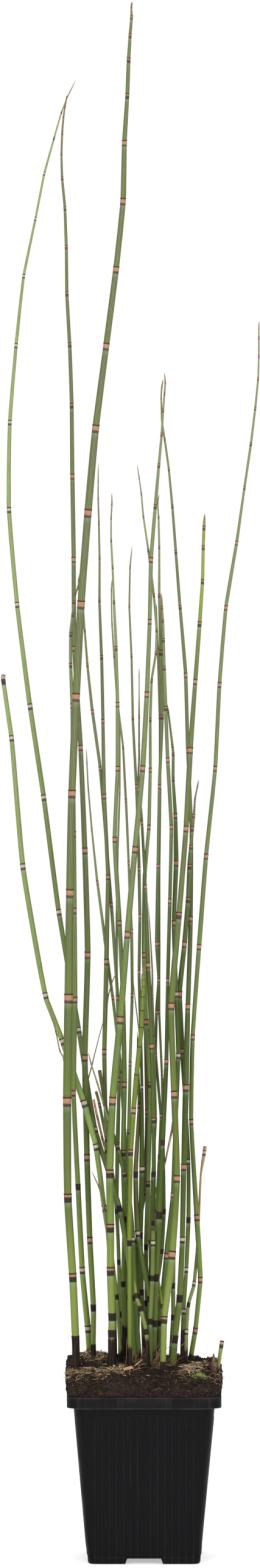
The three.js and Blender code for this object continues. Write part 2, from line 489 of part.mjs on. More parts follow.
function sideRibs() {
  const [width, proud, top] = RIB;
  const lean = (BODY_TOP_HALF - BODY_FOOT_HALF) / (POT_HEIGHT - RIM_BAND - FOOT_STEP);
  const bottom = FOOT_STEP + 0.6;
  const face = (z) => -(BODY_FOOT_HALF + lean * (z - FOOT_STEP));
  let ribs = null;
  for (let i = 1; i <= RIBS_EACH_SIDE; i += 1) {
    for (const sign of [-1, 1]) {
      const x = sign * (i * RIB_PITCH - RIB_SHIFT);
      const corner = (z, out) => [
        new THREE.Vector3(x - width / 2, face(z) - out, z),
        new THREE.Vector3(x + width / 2, face(z) - out, z),
        new THREE.Vector3(x + width / 2, face(z) + WALL / 2, z),
        new THREE.Vector3(x - width / 2, face(z) + WALL / 2, z),
      ];
      const rib = solid(loft([corner(bottom, proud), corner(top, proud * 0.7)]));
      ribs = ribs ? ribs.add(rib) : rib;
    }
  }
  return ribs;
}

function rimPanel(shoulder) {
  const [width, proud] = RIM_PANEL;
  const height = RIM_BAND - 2;
  return block(width, 2 * proud, height, 0, -RIM_HALF, shoulder + RIM_BAND / 2);
}

function potCavity(shoulder) {
  const inside = BODY_TOP_HALF - WALL;
  return solid(loft([
    squareLoop(BODY_FOOT_HALF - WALL, BODY_CORNER[0] - 1, FLOOR_TOP),
    squareLoop(inside, BODY_CORNER[1] - 1, shoulder),
    squareLoop(RIM_HALF - WALL, RIM_CORNER - 1, shoulder + 1.2),
    squareLoop(RIM_HALF - WALL, RIM_CORNER - 1, POT_HEIGHT + 5),
  ]));
}

function underFloor() {
  return solid(loft([
    squareLoop(FOOT_HALF - 1.4, 3.5, -1),
    squareLoop(FOOT_HALF - 1.4, 3.5, FLOOR_UNDERSIDE),
  ]));
}

// The round foot under the middle of the floor, which stands on the ground like the outer foot.
function centreFoot() {
  const height = FLOOR_UNDERSIDE + 0.5;
  const foot = new THREE.CylinderGeometry(CENTRE_FOOT, CENTRE_FOOT, height, 16);
  foot.rotateX(Math.PI / 2);
  foot.translate(0, 0, height / 2);
  return solid(foot);
}

function footNotch() {
  const [wide, narrow, height] = NOTCH;
  const outline = new THREE.Shape();
  outline.moveTo(-wide / 2 - 1, -1);
  outline.lineTo(wide / 2 + 1, -1);
  outline.lineTo(wide / 2, 0);
  outline.lineTo(narrow / 2, height);
  outline.lineTo(-narrow / 2, height);
  outline.lineTo(-wide / 2, 0);
  const cut = new THREE.ExtrudeGeometry(outline, { depth: 6, bevelEnabled: false });
  cut.rotateX(Math.PI / 2);
  cut.translate(0, -FOOT_HALF + 3.5, 0);
  return solid(cut);
}

// ---------------------------------------------------------------- soil
// The root ball fills the pot and stands proud of the rim, with a lumpy top that climbs
// towards the back and drops off at its edges.
function soilTop(x, y) {
  const lumps = 0.9 * Math.sin(x / 6.1 + 1.3) * Math.cos(y / 5.3 - 0.4)
    + 0.6 * Math.sin(x / 3.4 + y / 4.1)
    + 0.5 * Math.cos(x / 9.7 - y / 3.7);
  const [moundX, moundY] = SOIL_MOUND.at;
  const away = (x - moundX) ** 2 + (y - moundY) ** 2;
  const mound = SOIL_MOUND.height * Math.exp(-away / SOIL_MOUND.spread);
  const edge = Math.max(Math.abs(x), Math.abs(y)) / SOIL_HALF;
  const [edgeStart, edgeFall] = SOIL_FALL;
  const fall = (edgeFall * Math.max(0, edge - edgeStart)) / (1 - edgeStart);
  const [rightStart, rightWidth, rightFall] = SOIL_LOW_RIGHT;
  const lowRight = rightFall * Math.max(0, (x - rightStart) / rightWidth);
  return SOIL_FRONT + SOIL_RISE * (y + 50) + lumps + mound - fall - lowRight;
}

function soilSide(half, height, roughness) {
  const loop = squareLoop(half, RIM_CORNER, height, 3, 6);
  loop.forEach((point) => {
    const bulge = Math.sin(point.x / 5.2 + height) * Math.cos(point.y / 6.3 - height / 3);
    const scale = 1 + (roughness * bulge) / half;
    point.setX(point.x * scale);
    point.setY(point.y * scale);
  });
  return loop;
}

function soilGeometry(stems) {
  const shoulder = POT_HEIGHT - RIM_BAND;
  const inside = BODY_TOP_HALF - WALL - GAP;
  const loops = [
    squareLoop(BODY_FOOT_HALF - WALL - GAP, BODY_CORNER[0] - 1, FLOOR_TOP + GAP, 3, 6),
    squareLoop(inside, BODY_CORNER[1] - 1, shoulder + 0.2, 3, 6),
    squareLoop(RIM_HALF - WALL - GAP, RIM_CORNER - 1, shoulder + 1.6, 3, 6),
    squareLoop(RIM_HALF - WALL - GAP, RIM_CORNER - 1, POT_HEIGHT + GAP, 3, 6),
    soilSide(SOIL_HALF - 0.6, POT_HEIGHT + GAP, 0.4),
    soilSide(SOIL_HALF + 0.6, POT_HEIGHT + 5, 1.2),
  ];
  for (const share of [0.985, 0.92, 0.79, 0.62, 0.43, 0.22]) {
    loops.push(squareLoop(SOIL_HALF * share, RIM_CORNER * share, soilTop, 3, 6));
  }
  let body = solid(loft(loops, new THREE.Vector3(0, 0, soilTop(0, 0))));
  for (const stem of stems) {
    body = body.subtract(solid(holeGeometry(stem)));
  }
  const nest = stalkGeometry(STALK.radius + GAP, STALK.length + 2 * GAP);
  body = body.subtract(solid(nest));
  return geometryOf(body);
}

// The plain hole that a stem stands in: the stem's own section, larger by the gap all round.
function holeGeometry({ foot, radius, depth, sides }) {
  const [x, y] = foot;
  const wide = radius + GAP / Math.cos(Math.PI / sides);
  const upright = new THREE.Vector3(0, 0, 1);
  const level = (z) => ringLoop(new THREE.Vector3(x, y, z), wide, upright, sides);
  const ground = soilTop(x, y);
  return loft([level(ground - depth - GAP), level(ground + 12)]);
}

// A short cut piece of old stalk that lies on the soil.
function stalkGeometry(radius, length) {
  const geometry = new THREE.CylinderGeometry(radius * 0.9, radius, length, 8);
  geometry.rotateZ(Math.PI / 2);
  geometry.rotateY(THREE.MathUtils.degToRad(STALK.tilt));
  geometry.rotateZ(THREE.MathUtils.degToRad(STALK.turn));
  const [x, y] = STALK.at;
  geometry.translate(x, y, soilTop(x, y) + 1.1);
  return geometry;
}

// ---------------------------------------------------------------- stems
// Every joint has a sheath: the stem widens to the sheath's rim and steps in to a narrow neck.
function stemSides(stem) {
  const thickest = Math.max(...stem.joints.map((joint) => joint[3]));
  return thickest >= SIX_SIDED ? 6 : 5;
}

function stemHole(stem) {
  return {
    foot: stem.foot,
    radius: stem.joints[0][3] / 2,
    depth: stem.depth ?? ROOT_DEPTH,
    sides: stemSides(stem),
  };
}

function stemGeometry(stem) {
  const sides = stemSides(stem);
  const hole = stemHole(stem);
  const [footX, footY] = stem.foot;
  const ground = soilTop(footX, footY);
  const upright = new THREE.Vector3(0, 0, 1);
  const below = new THREE.Vector3(footX, footY, ground - hole.depth);
  const above = new THREE.Vector3(footX, footY, ground + COLLAR);
  const loops = [below, above].map((place) => ringLoop(place, hole.radius, upright, sides));
  const places = stem.joints.map(([x, y, z]) => new THREE.Vector3(x, y, z));
  const last = places.length - 1;
  places.forEach((place, i) => {
    const before = i === 0 ? above : places[i - 1];
    const after = places[Math.min(i + 1, last)];
    const direction = after.clone().sub(before).normalize();
    const radius = stem.joints[i][3] / 2;
    if (i === last) {
      if (stem.end === 'cut') loops.push(ringLoop(place, radius, direction, sides));
      return;
    }
    const room = SHEATH_ROOM * Math.min(place.distanceTo(before), place.distanceTo(after));
    const sheath = Math.min(SHEATH_BASE + SHEATH_SHARE * 2 * radius, room);
    const at = (along) => place.clone().addScaledVector(direction, along);
    if (2 * radius >= SLIM) loops.push(ringLoop(at(-sheath / 2), radius, direction, sides));
    loops.push(ringLoop(at(sheath / 2), radius * SHEATH_FLARE, direction, sides));
    loops.push(ringLoop(at(sheath / 2 + NECK[0]), radius * NECK[1], direction, sides));
  });
  return loft(loops, stem.end === 'cut' ? null : places[last]);
}

function budHole() {
  return { foot: BUD.foot, radius: BUD.rings[0][1], depth: -BUD.rings[0][0], sides: 6 };
}

function budGeometry() {
  const [x, y] = BUD.foot;
  const ground = soilTop(x, y);
  const upright = new THREE.Vector3(0, 0, 1);
  const at = (z) => new THREE.Vector3(x, y, ground + z);
  const loops = BUD.rings.map(([z, radius]) => ringLoop(at(z), radius, upright, 6));
  return loft(loops, at(BUD.tip));
}

// ---------------------------------------------------------------- the plant
const plant = new THREE.Group();
plant.add(piece('pot', potGeometry(), material(COLOUR.pot, 0.5)));
plant.add(piece('soil', soilGeometry([...STEMS.map(stemHole), budHole()]), material(COLOUR.soil, 1)));
plant.add(piece('stalk_piece', stalkGeometry(STALK.radius, STALK.length), material(COLOUR.dead, 0.9)));
plant.add(piece('bud', budGeometry(), material(COLOUR.bud, 0.8)));
for (const stem of STEMS) {
  plant.add(piece(stem.name, stemGeometry(stem), material(COLOUR[stem.tint], 0.55)));
}

export default plant;
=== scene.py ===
"""Horsetail plant in its square nursery pot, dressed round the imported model.

Sizes are in millimetres, as on the real thing, and become metres where a mesh is made.
"""
import json
import math

import bmesh
import bpy
import numpy as np
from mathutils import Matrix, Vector


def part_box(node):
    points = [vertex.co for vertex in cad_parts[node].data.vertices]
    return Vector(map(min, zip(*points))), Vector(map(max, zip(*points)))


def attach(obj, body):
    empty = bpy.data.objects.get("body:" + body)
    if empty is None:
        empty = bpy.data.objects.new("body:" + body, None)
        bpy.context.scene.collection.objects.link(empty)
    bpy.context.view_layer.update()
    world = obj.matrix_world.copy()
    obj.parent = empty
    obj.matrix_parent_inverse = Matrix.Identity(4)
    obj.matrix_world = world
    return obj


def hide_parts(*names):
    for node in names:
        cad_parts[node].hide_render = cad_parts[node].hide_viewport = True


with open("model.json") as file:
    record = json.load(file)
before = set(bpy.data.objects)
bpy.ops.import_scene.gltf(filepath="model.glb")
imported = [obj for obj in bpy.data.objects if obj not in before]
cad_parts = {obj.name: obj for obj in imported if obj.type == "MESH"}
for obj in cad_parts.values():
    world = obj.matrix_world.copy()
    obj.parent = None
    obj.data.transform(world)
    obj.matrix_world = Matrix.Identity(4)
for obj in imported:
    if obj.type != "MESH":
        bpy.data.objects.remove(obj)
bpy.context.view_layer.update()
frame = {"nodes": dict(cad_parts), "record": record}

# ---------------------------------------------------------------- camera
# A long lens far in front of the plant, level with the middle of its height, so that the tall
# stems stand straight. It looks along +Y and a little left of the pot's middle.
CAMERA_PLACE = (-10.05, -4355.0, 555.0)
CAMERA_TO_POT = 4300.0  # to the pot's front face
SEEN_HEIGHT = 1111.3  # what the picture takes in there, from its bottom edge to its top
SENSOR = 36.0  # along the picture's long side

camera_data = bpy.data.cameras.new("camera")
camera_data.sensor_width = SENSOR
camera_data.lens = SENSOR * CAMERA_TO_POT / SEEN_HEIGHT
camera_data.clip_end = 60.0
camera = bpy.data.objects.new("camera", camera_data)
camera.location = [value / 1000 for value in CAMERA_PLACE]
camera.rotation_euler = (math.pi / 2, 0, 0)
bpy.context.scene.collection.objects.link(camera)
bpy.context.scene.camera = camera

# ---------------------------------------------------------------- pot
# A thin moulded pot of black polypropylene with a satin skin: a stepped-out rim band with plain
# panels, fine upright ribs, a row of small dimples under the rim, a foot with a notch in the
# middle of each side, and a raised floor with drain holes and a round foot in its middle.
POT_HEIGHT = 120.0
RIM_HALF = 55.0
RIM_FOOT = 112.0  # height of the rim band's lower edge
BODY_TOP_HALF = 50.25
BODY_FOOT_HALF = 40.4
FOOT_HALF = 38.9
FOOT_STEP = 5.8
POT_WALL = 1.2
FLOOR_UNDER = 4.6
FLOOR_TOP = 5.9
NOTCH_HALF = (12.0, 13.5)  # half the notch's width at its top and at the ground
NOTCH_TOP = 3.9
PLAIN_HALF = 35.4  # the ribs and notches lie within this distance of a side's middle
RIB_STEP = 5.05
RIB_SHIFT = 0.45  # how much nearer to the middle than a whole number of steps each rib stands
RIB_PLACES = [sign * (step * RIB_STEP - RIB_SHIFT) for step in range(1, 8) for sign in (-1, 1)]
RIB_HALF = 0.45  # half a rib's width
RIB_PROUD = 0.3
RIB_TOP = 103.5
DIMPLE_FIRST = -16.0
DIMPLE_STEP = 4.95
DIMPLE_PLACES = [DIMPLE_FIRST + DIMPLE_STEP * step for step in range(8)]
DIMPLE_HEIGHT = 107.4
DIMPLE_RADIUS = 1.0
DIMPLE_DEPTH = 0.45
RIM_PANEL_HALF = 19.0
RIM_PANEL_PROUD = 0.3
RIM_SUNK = (20.5, 45.0, 0.2)  # from here to there beside the panel the rim band is sunk by this
WALL_WAVE = (0.22, 21.0, 47.0)  # the wall's slight waviness: depth, and lengths across and up
DRAIN_RADIUS = 3.2
DRAIN_REACH = 24.0


def link_piece(name, mesh, *nodes):
    """A new object for a mesh, riding on the plant's one body in place of the named nodes."""
    piece = bpy.data.objects.new(name, mesh)
    bpy.context.scene.collection.objects.link(piece)
    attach(piece, "root")
    if nodes:
        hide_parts(*nodes)
    return piece


def mesh_of(name, points, faces, smooth=True):
    """A mesh from points in millimetres and rows of corner numbers, three or four to a face."""
    mesh = bpy.data.meshes.new(name)
    mesh.from_pydata((np.asarray(points) / 1000).tolist(), [], [list(face) for face in faces])
    mesh.polygons.foreach_set("use_smooth", np.full(len(mesh.polygons), smooth))
    mesh.update()
    return mesh


def grid_faces(rows, columns):
    """Quads of a grid whose columns close on themselves: corner (r, c) is number r * columns + c."""
    row, column = np.meshgrid(np.arange(rows - 1), np.arange(columns), indexing="ij")
    after = (column + 1) % columns
    low, high = row * columns, (row + 1) * columns
    return np.stack([low + column, low + after, high + after, high + column], -1).reshape(-1, 4)


def side_outline(along, half, corner):
    """Point on a quarter of a rounded square, the one that faces -Y: along is the distance from
    the side's middle, straight up to half - corner and then round an arc of the corner's radius."""
    straight = half - corner
    angle = np.clip((np.abs(along) - straight) / corner, 0, None)
    flat = angle <= 0
    x = np.where(flat, np.abs(along), straight + corner * np.sin(angle))
    y = np.where(flat, half, straight + corner * np.cos(angle))
    return np.sign(along) * x, -y


def pot_columns():
    """Places of the upright mesh lines across one side, closest at the ribs, dimples and notch."""
    near_rib = [place + step for place in RIB_PLACES for step in (-RIB_HALF, -0.22, 0, 0.22, RIB_HALF)]
    near_dimple = [place + DIMPLE_RADIUS * step for place in DIMPLE_PLACES
                   for step in (-1, -0.7, -0.35, 0.35, 0.7, 1)]
    notch = [sign * edge for edge in NOTCH_HALF for sign in (-1, 1)]
    panel = [sign * (RIM_PANEL_HALF + step) for step in (0, 0.4) for sign in (-1, 1)]
    places = np.array(sorted(near_rib + near_dimple + notch + panel + [-PLAIN_HALF, PLAIN_HALF]))
    return places[np.append(True, np.diff(places) > 0.12)]


def pot_rows():
    """The pot's section from the middle of its floor over the rim to the middle of its underside:
    half width, corner radius and height of each row, and whether it lies on the outer skin."""
    rim_bore = RIM_HALF - POT_WALL
    inner = [(0.4, 0.4, FLOOR_TOP), (20, 5, FLOOR_TOP), (BODY_FOOT_HALF - POT_WALL, 5, FLOOR_TOP),
             (BODY_TOP_HALF - POT_WALL, 10, RIM_FOOT), (rim_bore, 9, RIM_FOOT + POT_WALL),
             (rim_bore, 9, POT_HEIGHT - 0.4), (rim_bore + 0.2, 9.2, POT_HEIGHT - 0.08)]
    rim = [(54.35, 9.5, POT_HEIGHT), (54.65, 9.7, 119.97), (54.9, 9.9, 119.75),
           (RIM_HALF, 10, 119.4), (RIM_HALF, 10, 118.8), (RIM_HALF, 10, 118.5), (RIM_HALF, 10, 116),
           (RIM_HALF, 10, 113.6), (RIM_HALF, 10, 113.3), (RIM_HALF, 10, 112.6),
           (54.9, 9.9, 112.25), (54.6, 9.8, 112.04), (54, 9.8, RIM_FOOT), (51.4, 10.8, 111.9),
           (50.5, 11, 111.7), (BODY_TOP_HALF, 11, 111.2)]
    lean = (BODY_TOP_HALF - BODY_FOOT_HALF) / (RIM_FOOT - FOOT_STEP)
    heights = [110, 108.6, 108.3, 108.0, 107.7, 107.4, 107.1, 106.8, 106.5, 106.2, 105, 103.9, 103.5,
               102.6, 100, *range(95, 8, -5), 7.4, 6.6]
    widen = 5 / (RIM_FOOT - FOOT_STEP)  # the corners' radius grows from 6 to 11 on the way up
    wall = [(BODY_FOOT_HALF + lean * (z - FOOT_STEP), 6 + widen * (z - FOOT_STEP), z) for z in heights]
    foot = [(40.5, 6, 6.2), (40.15, 6, 5.95), (40.15, 6, 5.7), (40.3, 6, 5.5), (40.2, 6, 3.6),
            (40.1, 6, 1.6), (39.7, 5.8, 0.7), (39.3, 5.5, 0.2), (FOOT_HALF, 5, 0)]
    under = [(37.8, 4, 0), (37.5, 3.5, 0.3), (37.5, 3.5, 4.2), (37.2, 3.2, FLOOR_UNDER),
             (30, 5, FLOOR_UNDER), (12, 10, FLOOR_UNDER), (7.3, 7.3, FLOOR_UNDER), (7, 7, 4.3),
             (7, 7, 0.3), (6.7, 6.7, 0), (0.4, 0.4, 0)]
    rows = np.array(inner + rim + wall + foot + under, float)
    outer = np.zeros(len(rows), bool)
    outer[len(inner):len(rows) - len(under)] = True
    return rows[:, 0], rows[:, 1], rows[:, 2], outer


def pot_skin():
    """Points and faces of the whole pot. Each row is a rounded square worked out from its distance
    along the side; ribs, dimples, rim panels and a slight wave move the outer skin in or out along
    the normal, and the notches press the rows of the foot together towards the notch's top."""
    half, corner, height, outer = [values[:, None] for values in pot_rows()]
    fixed = pot_columns()
    bend = np.linspace(0, 1, 14)[1:]
    reach = half - corner + corner * math.pi / 4
    wide = reach > PLAIN_HALF + 1
    plain = np.where(wide, fixed[None], fixed[None] / PLAIN_HALF * reach * 0.8)
    start = np.where(wide, PLAIN_HALF, 0.8 * reach)
    turn = start + (reach - start) * bend[None]
    along = np.hstack([-turn[:, ::-1][:, 1:], plain, turn])
    outward = np.zeros_like(along)
    for place in RIB_PLACES:
        rib = RIB_PROUD * np.clip(1.25 * np.cos((along - place) / RIB_HALF * math.pi / 2), 0, 1)
        rib = np.where(np.abs(along - place) < RIB_HALF, rib, 0)
        outward += rib * ((height <= RIB_TOP) & (height > 6.5))
    for place in DIMPLE_PLACES:
        away = np.hypot(along - place, height - DIMPLE_HEIGHT) / DIMPLE_RADIUS
        outward -= DIMPLE_DEPTH * np.clip(1 - away ** 2, 0, 1) * (height > 105)
    on_band = (height < 118.6) & (height > 113.5)
    outward += np.where(np.abs(along) < RIM_PANEL_HALF + 0.2, RIM_PANEL_PROUD, 0) * on_band
    sunk_from, sunk_to, sunk_by = RIM_SUNK
    outward -= np.where((np.abs(along) > sunk_from) & (np.abs(along) < sunk_to), sunk_by, 0) * on_band
    wave, wave_across, wave_up = WALL_WAVE
    outward += wave * np.sin(along / wave_across + height / wave_up) * ((height < 105) & (height > 12))
    outward *= outer
    lift = NOTCH_TOP * np.clip((NOTCH_HALF[1] - np.abs(along)) / (NOTCH_HALF[1] - NOTCH_HALF[0]), 0, 1)
    low_outside = outer & (height < FOOT_STEP)
    low_inside = ~outer & (half > 30) & (height <= FLOOR_UNDER)
    top = np.where(low_outside, FOOT_STEP, FLOOR_UNDER)
    z = np.where(low_outside | low_inside, lift + height * (top - lift) / top, height)
    x, y = side_outline(along, half, corner)
    grow = 1 + outward / np.hypot(x, y)
    y = np.where(np.abs(along) < PLAIN_HALF, y - outward, y * grow)
    x = np.where(np.abs(along) < PLAIN_HALF, x, x * grow)
    turns = [(x, y), (-y, x), (-x, -y), (y, -x)]
    points = np.hstack([np.stack([px, py, z], -1) for px, py in turns])
    rows, columns = points.shape[:2]
    faces = grid_faces(rows, columns)[:, ::-1].tolist()
    ends = [(0, FLOOR_TOP, 1), (rows - 1, 0.0, -1)]
    points = points.reshape(-1, 3)
    for end, z_end, facing in ends:
        middle = len(points)
        points = np.vstack([points, [[0, 0, z_end]]])
        ring = end * columns + np.arange(columns)
        fan = np.stack([np.full(columns, middle), ring, np.roll(ring, -1)], -1)
        faces += fan[:, ::facing].tolist()
    return points, faces


def drain_cutter():
    """Eight upright cylinders, one for each drain hole, as one mesh."""
    sides = 32
    around = np.linspace(0, 2 * math.pi, sides, endpoint=False)
    points, faces = [], []
    for turn in np.arange(8) * math.pi / 4:
        x = DRAIN_REACH * math.cos(turn) + DRAIN_RADIUS * np.cos(around)
        y = DRAIN_REACH * math.sin(turn) + DRAIN_RADIUS * np.sin(around)
        first = len(points) * sides
        points += [np.stack([x, y, np.full(sides, z)], -1) for z in (2.0, 9.0)]
        faces += (grid_faces(2, sides) + first).tolist()
        faces.append(list(range(first + sides - 1, first - 1, -1)))
        faces.append(list(range(first + sides, first + 2 * sides)))
    return mesh_of("drain_cutter", np.vstack(points), faces)


def wire(tree, kind, values=None, **settings):
    """A new node with its settings. A value that is a socket is linked, and any other is set."""
    node = tree.nodes.new(kind)
    for key, setting in settings.items():
        setattr(node, key, setting)
    for socket, value in (values or {}).items():
        if isinstance(value, bpy.types.NodeSocket):
            tree.links.new(value, node.inputs[socket])
        else:
            node.inputs[socket].default_value = value
    return node


def calc(tree, operation, *values):
    """One Math node's result."""
    return wire(tree, "ShaderNodeMath", dict(enumerate(values)), operation=operation).outputs[0]


def times(tree, first, second):
    """The product of two masks or measures."""
    return calc(tree, "MULTIPLY", first, second)


def fade(tree, value, start, end, low=0.0, high=1.0):
    """A smooth change from low to high as the value goes from start to end."""
    values = {"Value": value, "From Min": start, "From Max": end, "To Min": low, "To Max": high}
    return wire(tree, "ShaderNodeMapRange", values, interpolation_type="SMOOTHSTEP").outputs[0]


def mix(tree, factor, first, second):
    """Two colours mixed by a factor."""
    return wire(tree, "ShaderNodeMix", {0: factor, 6: first, 7: second}, data_type="RGBA").outputs[2]


def noise(tree, place, scale, detail=3.0, stretch=(1, 1, 1), rough=0.55):
    """Fractal noise from 0 to 1 in object coordinates, of so many waves a metre."""
    moved = wire(tree, "ShaderNodeMapping", {"Vector": place, "Scale": stretch}).outputs[0]
    values = {"Vector": moved, "Scale": scale, "Detail": detail, "Roughness": rough}
    return wire(tree, "ShaderNodeTexNoise", values).outputs[0]


def new_material(name):
    """An empty material and its node tree, with a Principled shader at its output."""
    material = bpy.data.materials.new(name)
    material.use_nodes = True
    tree = material.node_tree
    tree.nodes.clear()
    shader = tree.nodes.new("ShaderNodeBsdfPrincipled")
    output = tree.nodes.new("ShaderNodeOutputMaterial")
    tree.links.new(shader.outputs[0], output.inputs[0])
    return material, tree, shader


def black_plastic():
    """Near-black satin polypropylene: a fine moulded grain, faint cloudy wear, scuffs and dust on the
    rim, and painted light and shade: the ribs painted a little paler in patches as a painted highlight,
    dimples painted darker as painted shade with a painted highlight on their lower lip, and painted
    highlights along the rim's top edge and the rim band's lower edge.
    A rib lies where the distance from the side's middle, plus the shift of the ribs, is a whole
    number of rib steps, and a dimple where the place along the side, less the first dimple's, is a
    whole number of dimple steps."""
    material, tree, shader = new_material("black_plastic")
    place = wire(tree, "ShaderNodeTexCoord").outputs["Object"]
    x, y, height = wire(tree, "ShaderNodeSeparateXYZ", {0: place}).outputs
    facing = wire(tree, "ShaderNodeNewGeometry").outputs["True Normal"]
    facing_x, facing_y, _ = wire(tree, "ShaderNodeSeparateXYZ", {0: facing}).outputs
    flat_x, flat_y = calc(tree, "ABSOLUTE", facing_x), calc(tree, "ABSOLUTE", facing_y)
    sideways = calc(tree, "GREATER_THAN", flat_x, flat_y)
    endways = calc(tree, "SUBTRACT", 1.0, sideways)
    from_x = times(tree, times(tree, x, endways), calc(tree, "SIGN", facing_y))
    from_y = times(tree, times(tree, y, sideways), calc(tree, "SIGN", facing_x))
    along = calc(tree, "SUBTRACT", from_y, from_x)
    across = calc(tree, "ABSOLUTE", along)
    cloud = noise(tree, place, 60.0, 4.0)
    streak = noise(tree, place, 420.0, 3.0, stretch=(1, 1, 0.06))
    grain = noise(tree, place, 2600.0, 2.0)
    highlight_patches = fade(tree, cloud, 0.3, 0.7, 0.25, 0.75)

    # Painted highlight: each rib is painted a little paler, in patches, for the light its raised edge
    # catches.
    step = calc(tree, "MULTIPLY_ADD", across, 1000 / RIB_STEP, RIB_SHIFT / RIB_STEP + 0.5)
    off_rib = calc(tree, "ABSOLUTE", calc(tree, "SUBTRACT", calc(tree, "FRACT", step), 0.5))
    ribbed = times(tree, fade(tree, height, 0.1045, 0.1030), fade(tree, across, 0.0362, 0.0352))
    rib = times(tree, fade(tree, off_rib, 0.10, 0.03), ribbed)
    step = calc(tree, "MULTIPLY_ADD", along, 1000 / DIMPLE_STEP, 0.5 - DIMPLE_FIRST / DIMPLE_STEP)
    beside = times(tree, calc(tree, "SUBTRACT", calc(tree, "FRACT", step), 0.5), DIMPLE_STEP)
    above = calc(tree, "MULTIPLY_ADD", height, 1000.0, -DIMPLE_HEIGHT)
    away = calc(tree, "ADD", times(tree, beside, beside), times(tree, above, above))
    in_row = times(tree, fade(tree, along, -0.0182, -0.0178), fade(tree, along, 0.0206, 0.0202))
    # Painted highlight on the lower lip of each dimple, and painted shade inside it.
    lip_highlight = times(tree, fade(tree, above, 0.2, -0.6), fade(tree, away, 2.0, 1.2, 0.0, 0.6))
    rim = fade(tree, height, 0.1108, 0.1122)
    # Painted highlights: thin paler lines along the rim's rounded top edge and along the lower edge of the
    # rim band.
    rim_foot_highlight = times(tree, fade(tree, height, 0.1108, 0.1113), fade(tree, height, 0.1127, 0.1121))
    edge = calc(tree, "MAXIMUM", fade(tree, height, 0.1190, 0.1195), rim_foot_highlight)
    dust = times(tree, fade(tree, height, 0.1150, 0.1202), fade(tree, cloud, 0.42, 0.75))

    colour = mix(tree, cloud, (0.0022, 0.0020, 0.0027, 1), (0.0044, 0.0040, 0.0048, 1))
    for mask, paint in (
            (fade(tree, streak, 0.55, 0.8, 0, 0.5), (0.0085, 0.0080, 0.0088, 1)),
            # painted highlight on the ribs
            (times(tree, rib, highlight_patches), (0.016, 0.016, 0.018, 1)),
            # painted highlight on each dimple's lower lip
            (times(tree, lip_highlight, in_row), (0.022, 0.022, 0.024, 1)),
            # painted shade: the inside of each dimple is painted near black
            (times(tree, fade(tree, away, 1.1, 0.5), in_row), (0.0008, 0.0008, 0.0010, 1)),
            (fade(tree, noise(tree, place, 1500.0, 2.0), 0.70, 0.78, 0, 0.5), (0.03, 0.03, 0.03, 1)),
            (rim, (0.0048, 0.0045, 0.0050, 1)),
            (times(tree, rim, fade(tree, across, 0.0192, 0.0188, 0.0, 0.5)), (0.0095, 0.0090, 0.0096, 1)),
            (times(tree, rim, fade(tree, streak, 0.5, 0.72, 0.0, 0.5)), (0.022, 0.022, 0.023, 1)),
            # painted highlights along the rim's edges
            (times(tree, edge, fade(tree, cloud, 0.3, 0.7, 0.25, 0.7)), (0.045, 0.046, 0.045, 1)),
            (times(tree, dust, 0.4), (0.055, 0.040, 0.030, 1))):
        colour = mix(tree, mask, colour, paint)
    tree.links.new(colour, shader.inputs["Base Color"])
    tree.links.new(fade(tree, cloud, 0.25, 0.8, 0.42, 0.58), shader.inputs["Roughness"])
    bump = wire(tree, "ShaderNodeBump", {"Height": grain, "Strength": 0.12, "Distance": 0.0002})
    tree.links.new(bump.outputs[0], shader.inputs["Normal"])
    shader.inputs["Specular IOR Level"].default_value = 0.08
    return material


def make_pot():
    """The pot's skin with its drain holes cut through the floor."""
    body = bpy.data.objects.new("pot_blank", mesh_of("moulded_pot", *pot_skin()))
    cutter = bpy.data.objects.new("pot_cutter", drain_cutter())
    for part in (body, cutter):
        bpy.context.scene.collection.objects.link(part)
    cut = body.modifiers.new("drain_holes", "BOOLEAN")
    cut.operation = "DIFFERENCE"
    cut.solver = "EXACT"
    cut.object = cutter
    graph = bpy.context.evaluated_depsgraph_get()
    mesh = bpy.data.meshes.new_from_object(body.evaluated_get(graph))
    for part in (body, cutter):
        blank = part.data
        bpy.data.objects.remove(part)
        bpy.data.meshes.remove(blank)
    mesh.name = "moulded_pot"
    mesh.set_sharp_from_angle(angle=math.radians(50))
    mesh.materials.clear()
    mesh.materials.append(black_plastic())
    link_piece("moulded_pot", mesh, "pot")


make_pot()

# ---------------------------------------------------------------- soil
# A root ball of dark fibrous peat, proud of the rim. Its top climbs towards the back, with a low
# mound at the back left, and crumbles away at its edges. Inside the pot it is plain.
SOIL_HALF = 55.2
SOIL_CORNER = 10.0
SOIL_FRONT = 134.3  # height at the front edge
SOIL_RISE = 0.062  # climb towards the back, per millimetre
SOIL_MOUND = (-38.0, 38.0, 2.6, 300.0)  # its place, its height and how far it spreads
SOIL_FALL = (0.84, 3.2)  # share of the half width where the edge starts to fall, and its fall
SOIL_LOW_RIGHT = (25.0, 30.0, 2.5)  # from this x on, over this width, it sinks by this
SOIL_SIDE_FOOT = 120.35  # where the side meets the pot's rim
SOIL_TUCK = 1.7  # how far the side leans in on its way down to there
SIDE_COLUMNS = 120


def crumble(points, size, seed):
    """Smooth noise from -1 to 1: random values on a cubic lattice of that size, blended between
    the eight corners round a point, each by 3 t squared less 2 t cubed of its part of the way."""
    table = np.random.default_rng(seed).uniform(-1, 1, (32, 32, 32))
    cell = np.floor(points / size).astype(int)
    part = points / size - cell
    part = part * part * (3 - 2 * part)
    total = np.zeros(points.shape[:-1])
    for corner in np.ndindex(2, 2, 2):
        weight = np.prod(np.where(corner, part, 1 - part), axis=-1)
        x, y, z = np.moveaxis((cell + corner) % 32, -1, 0)
        total += weight * table[x, y, z]
    return total


